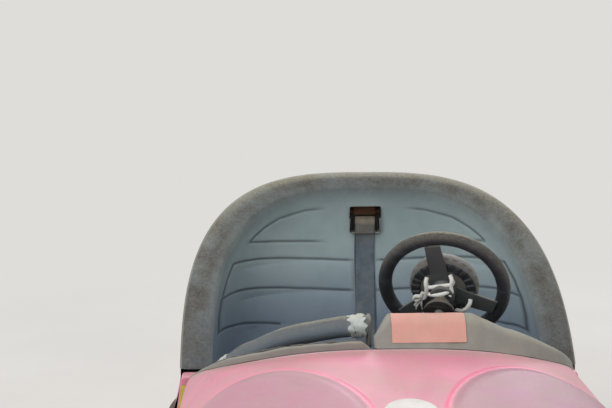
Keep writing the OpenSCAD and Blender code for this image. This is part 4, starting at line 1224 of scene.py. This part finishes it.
def cushion_start(swell):
    """The cushion's closed form: its outline from the seat's foot, drawn in between floor and top on a
    superellipse."""
    side = foot_at(even_turns(lambda turn: foot_at(turn, -14.0), 90), -14.0)[:, :2]
    loop = join([side, linspace(side[-1], side[0], 50)[1:-1] + [0, 6]])
    middle = array([0, CUSHION_Y])
    u = linspace(0, pi, 26)[:, None]
    z = CUSHION_Z - CUSHION_T / 2 + power(cos(u), 0.45) * (CUSHION_T / 2 - swell)
    xy = middle + (loop - middle) * (sin(u) ** 0.28)[..., None]
    return rings(pts(xy[..., 0], xy[..., 1], z))


def point_values(mesh):
    """The mesh's points in metres."""
    flat = np.empty(len(mesh.vertices) * 3)
    mesh.vertices.foreach_get("co", flat)
    return flat.reshape(-1, 3)


def stuffed(cushion):
    cloth = cushion.modifiers.new("stuffing", "CLOTH")
    cloth.settings.use_pressure = True
    cloth.settings.uniform_pressure_force = PRESSURE
    cloth.settings.effector_weights.gravity = 0.0
    cloth.settings.quality = 5
    for number in range(1, FRAMES + 1):
        bpy.context.scene.frame_set(number)
    soft = cushion.evaluated_get(bpy.context.evaluated_depsgraph_get())
    after = point_values(soft.data)
    cushion.modifiers.remove(cloth)
    bpy.context.scene.frame_set(1)
    return after


def make_cushion():
    """A stuffed cushion: its closed form is blown up by cloth pressure, each point by the cap of 12 mm at
    most, then given a crown and its sewn channels and kept between floor and top."""
    cushion = add_piece("cushion_pad", cushion_start(7.0), "cushion_vinyl", ["seat_cushion"])
    bpy.context.view_layer.objects.active = cushion
    cushion.select_set(True)
    remesh = cushion.modifiers.new("even", "REMESH")
    remesh.mode, remesh.voxel_size = "VOXEL", VOXEL
    bpy.ops.object.modifier_apply(modifier="even")
    mesh = cushion.data
    start = point_values(mesh)
    push = stuffed(cushion) - start
    size = np.linalg.norm(push, axis=1, keepdims=True)
    mm = (start + push * minimum(1, PUSH_CAP / maximum(size, 1e-9))) * 1000
    x, y, z = mm.T
    top = smooth((z - 330) / 20)
    crown = 6 * (1 - (x / FOOT_X) ** 2) * clip(1 - ((y - CUSHION_Y) / 190) ** 2, 0, 1)
    side = line_distance(abs(x), y, [[200, 110], [200, 480]])
    channel = clip(bump(x, 7) + bump(side, 7) + bump(y - 250, 7) * 0.8, 0, 1)
    mm[:, 2] = clip(z + top * (crown - 5.5 * channel - 6), CUSHION_Z - CUSHION_T + 0.5, CUSHION_Z + 7)
    mesh.vertices.foreach_set("co", (mm / 1000).ravel())
    # The channels are darkened in the vinyl: painted shade in the sewn channels.
    add_mark(mesh, "groove_and_shade", channel * top)
    mesh.polygons.foreach_set("use_smooth", np.ones(len(mesh.polygons), bool))
    mesh.update()
    finer = cushion.modifiers.new("finer", "SUBSURF")
    finer.levels = finer.render_levels = 1
    bpy.ops.object.modifier_apply(modifier="finer")


def make_lamps():
    """Six round lamps on the pods and two at the back: a domed lens with fine rings and its stepped collar
    each, standing square to the surface."""
    dome = [[0, 1], [31, 1], [31, 8], [29.5, 11], [27, 15], [22, 19], [14, 22], [7, 23], [0, 23.2]]
    glass = revolve(rounded(dome, 3), 72)
    out = np.linalg.norm(glass[0][..., :2], axis=-1)
    glass[0][..., 2] += 0.35 * sin(out * 1.9) * (glass[0][..., 2] > 10)
    collar = rounded_loop([[31.3, 0.3], [39, 0.3], [39, 4], [36.5, 10], [33, 11.5], [31.3, 9]], 1.8)
    collar = revolve(join([collar, collar[:1]]), 72)
    heads = [frame_on(nose_at, f, radians(d), 0.02, 0.035, 2) for f in LAMP_ROWS for d in LAMP_TURNS]
    tails = [frame_on(tub_at, array(radians(d)), array(TAIL_UP), 0.03, 0.03, 1) for d in TAIL_TURNS]
    tails = [(at - n, n) for at, n in tails]
    for name, spots, lens_finish in (("headlamp", heads, "lamp_lens"), ("tail_lamp", tails, "tail_lens")):
        lenses, collars = [merge([moved(form, lambda p: standing(p, at, n)) for at, n in spots])
                           for form in (glass, collar)]
        add_piece(name + "_glass", lenses, lens_finish, [name + "_lenses"])
        add_piece(name + "_rings", collars, "lamp_collar", [name + "_collars"], sharp=35)


def make_roundel():
    """The blank roundel on the ridge: rings laid on the nose by a mean of the eight nearest points of its
    surface, weighted by one over the distance squared, with its edge rolled down."""
    f, t = linspace(0.72, 1, 120)[:, None], radians(linspace(52, 128, 260))[None, :]
    s = nose_at(f, t).reshape(-1, 3)
    c = nose_at(1.0, radians(ROUNDEL_TURN))
    near = s[np.linalg.norm(s - c, axis=1) < ROUNDEL_R + 25]
    r = join([linspace(0, ROUNDEL_R - 1.5, 14), ROUNDEL_R - array([0.4, 0, 0])])[:, None]
    lift = join([np.full(14, 2.6), [2.3, 1.6, -0.8]])[:, None]
    a = around(96)
    x, y = r * cos(a), c[1] + r * sin(a) * 0.96
    d = hypot(x[..., None] - near[:, 0], y[..., None] - near[:, 1]) + 0.5
    i = np.argpartition(d, 8, axis=-1)[..., :8]
    weight = 1 / np.take_along_axis(d, i, -1) ** 2
    z = (near[i, 2] * weight).sum(-1) / weight.sum(-1)
    add_piece("blank_roundel", rings(pts(x, y, z + lift)), "roundel_white", ["nose_roundel"])


make_belt()
make_cushion()
make_lamps()
make_roundel()


# Floor, light and camera

FLOOR_HALF, FLOOR_Z = 60.0, -0.0006


def make_stage():
    """A wide pale floor that passes into the plain background away from the car."""
    mesh = bpy.data.meshes.new("studio_floor")
    corners = [(FLOOR_HALF * x, FLOOR_HALF * y, FLOOR_Z) for x, y in ((-1, -1), (1, -1), (1, 1), (-1, 1))]
    mesh.from_pydata(corners, [], [(0, 1, 2, 3)])
    t, place = begin("studio_floor")
    finish(t, t.mixed(t.ramp(t.noise(place, 1.4, 5.0), 0.3, 0.7), (208, 206, 202), (202, 200, 196)), 0.85)
    nodes = t.tree.nodes
    far = t.ramp(t.add("VectorMath", 1, (place,), operation="LENGTH"), 1.7, 3.6)
    plain = t.add("Emission", 0, {"Color": ink(BACKDROP), "Strength": 1.0})
    lit = nodes["Principled BSDF"].outputs[0]
    both = t.add("MixShader", 0, (t.times(far, t.seen_directly()), lit, plain))
    t.put(both, nodes["Material Output"].inputs["Surface"])
    mesh.materials.append(MATERIALS["studio_floor"])
    placed("studio_floor", mesh)


def area_light(name, at, aim, size, power_w):
    """A square soft lamp at a place, aimed at another."""
    lamp = bpy.data.lights.new(name, "AREA")
    lamp.shape, lamp.size, lamp.energy = "SQUARE", size, power_w
    z = unit(array(at, float) - array(aim, float))
    x = unit(cross([0, 0, 1.0], z))
    turned = np.eye(4)
    turned[:3] = np.stack([x, cross(z, x), z, array(at)], -1)
    placed(name, lamp).matrix_world = Matrix(turned.tolist())


def make_room():
    """An even grey room, which the camera sees in the background's own colour."""
    world = bpy.data.worlds.new("soft_room")
    world.use_nodes = True
    bpy.context.scene.world = world
    t = Tree(world.node_tree)
    colour = t.mixed(t.seen_directly(), (0.66, 0.66, 0.66, 1), BACKDROP)
    t.put(colour, t.tree.nodes["Background"].inputs["Color"])


def make_camera():
    """The photo's camera: ten degrees down, a little to the car's right-hand side."""
    data = bpy.data.cameras.new("photo_view")
    data.lens, data.sensor_width = 70.06, 36.0
    camera = placed("photo_view", data)
    camera.location = (-0.30, -2.9, 1.44)
    camera.rotation_euler = (radians(79.7), 0, radians(-2.02))
    bpy.context.scene.camera = camera


make_stage()
area_light("window_behind", (2.0, 5.0, 4.6), (0, 0.3, 0.5), 5.0, 190)
area_light("overhead_soft", (-2.6, -2.4, 4.8), (0, 0, 0.4), 5.0, 175)
make_room()
make_camera()
bpy.context.scene.view_settings.view_transform = "Standard"

bpy.context.view_layer.update()
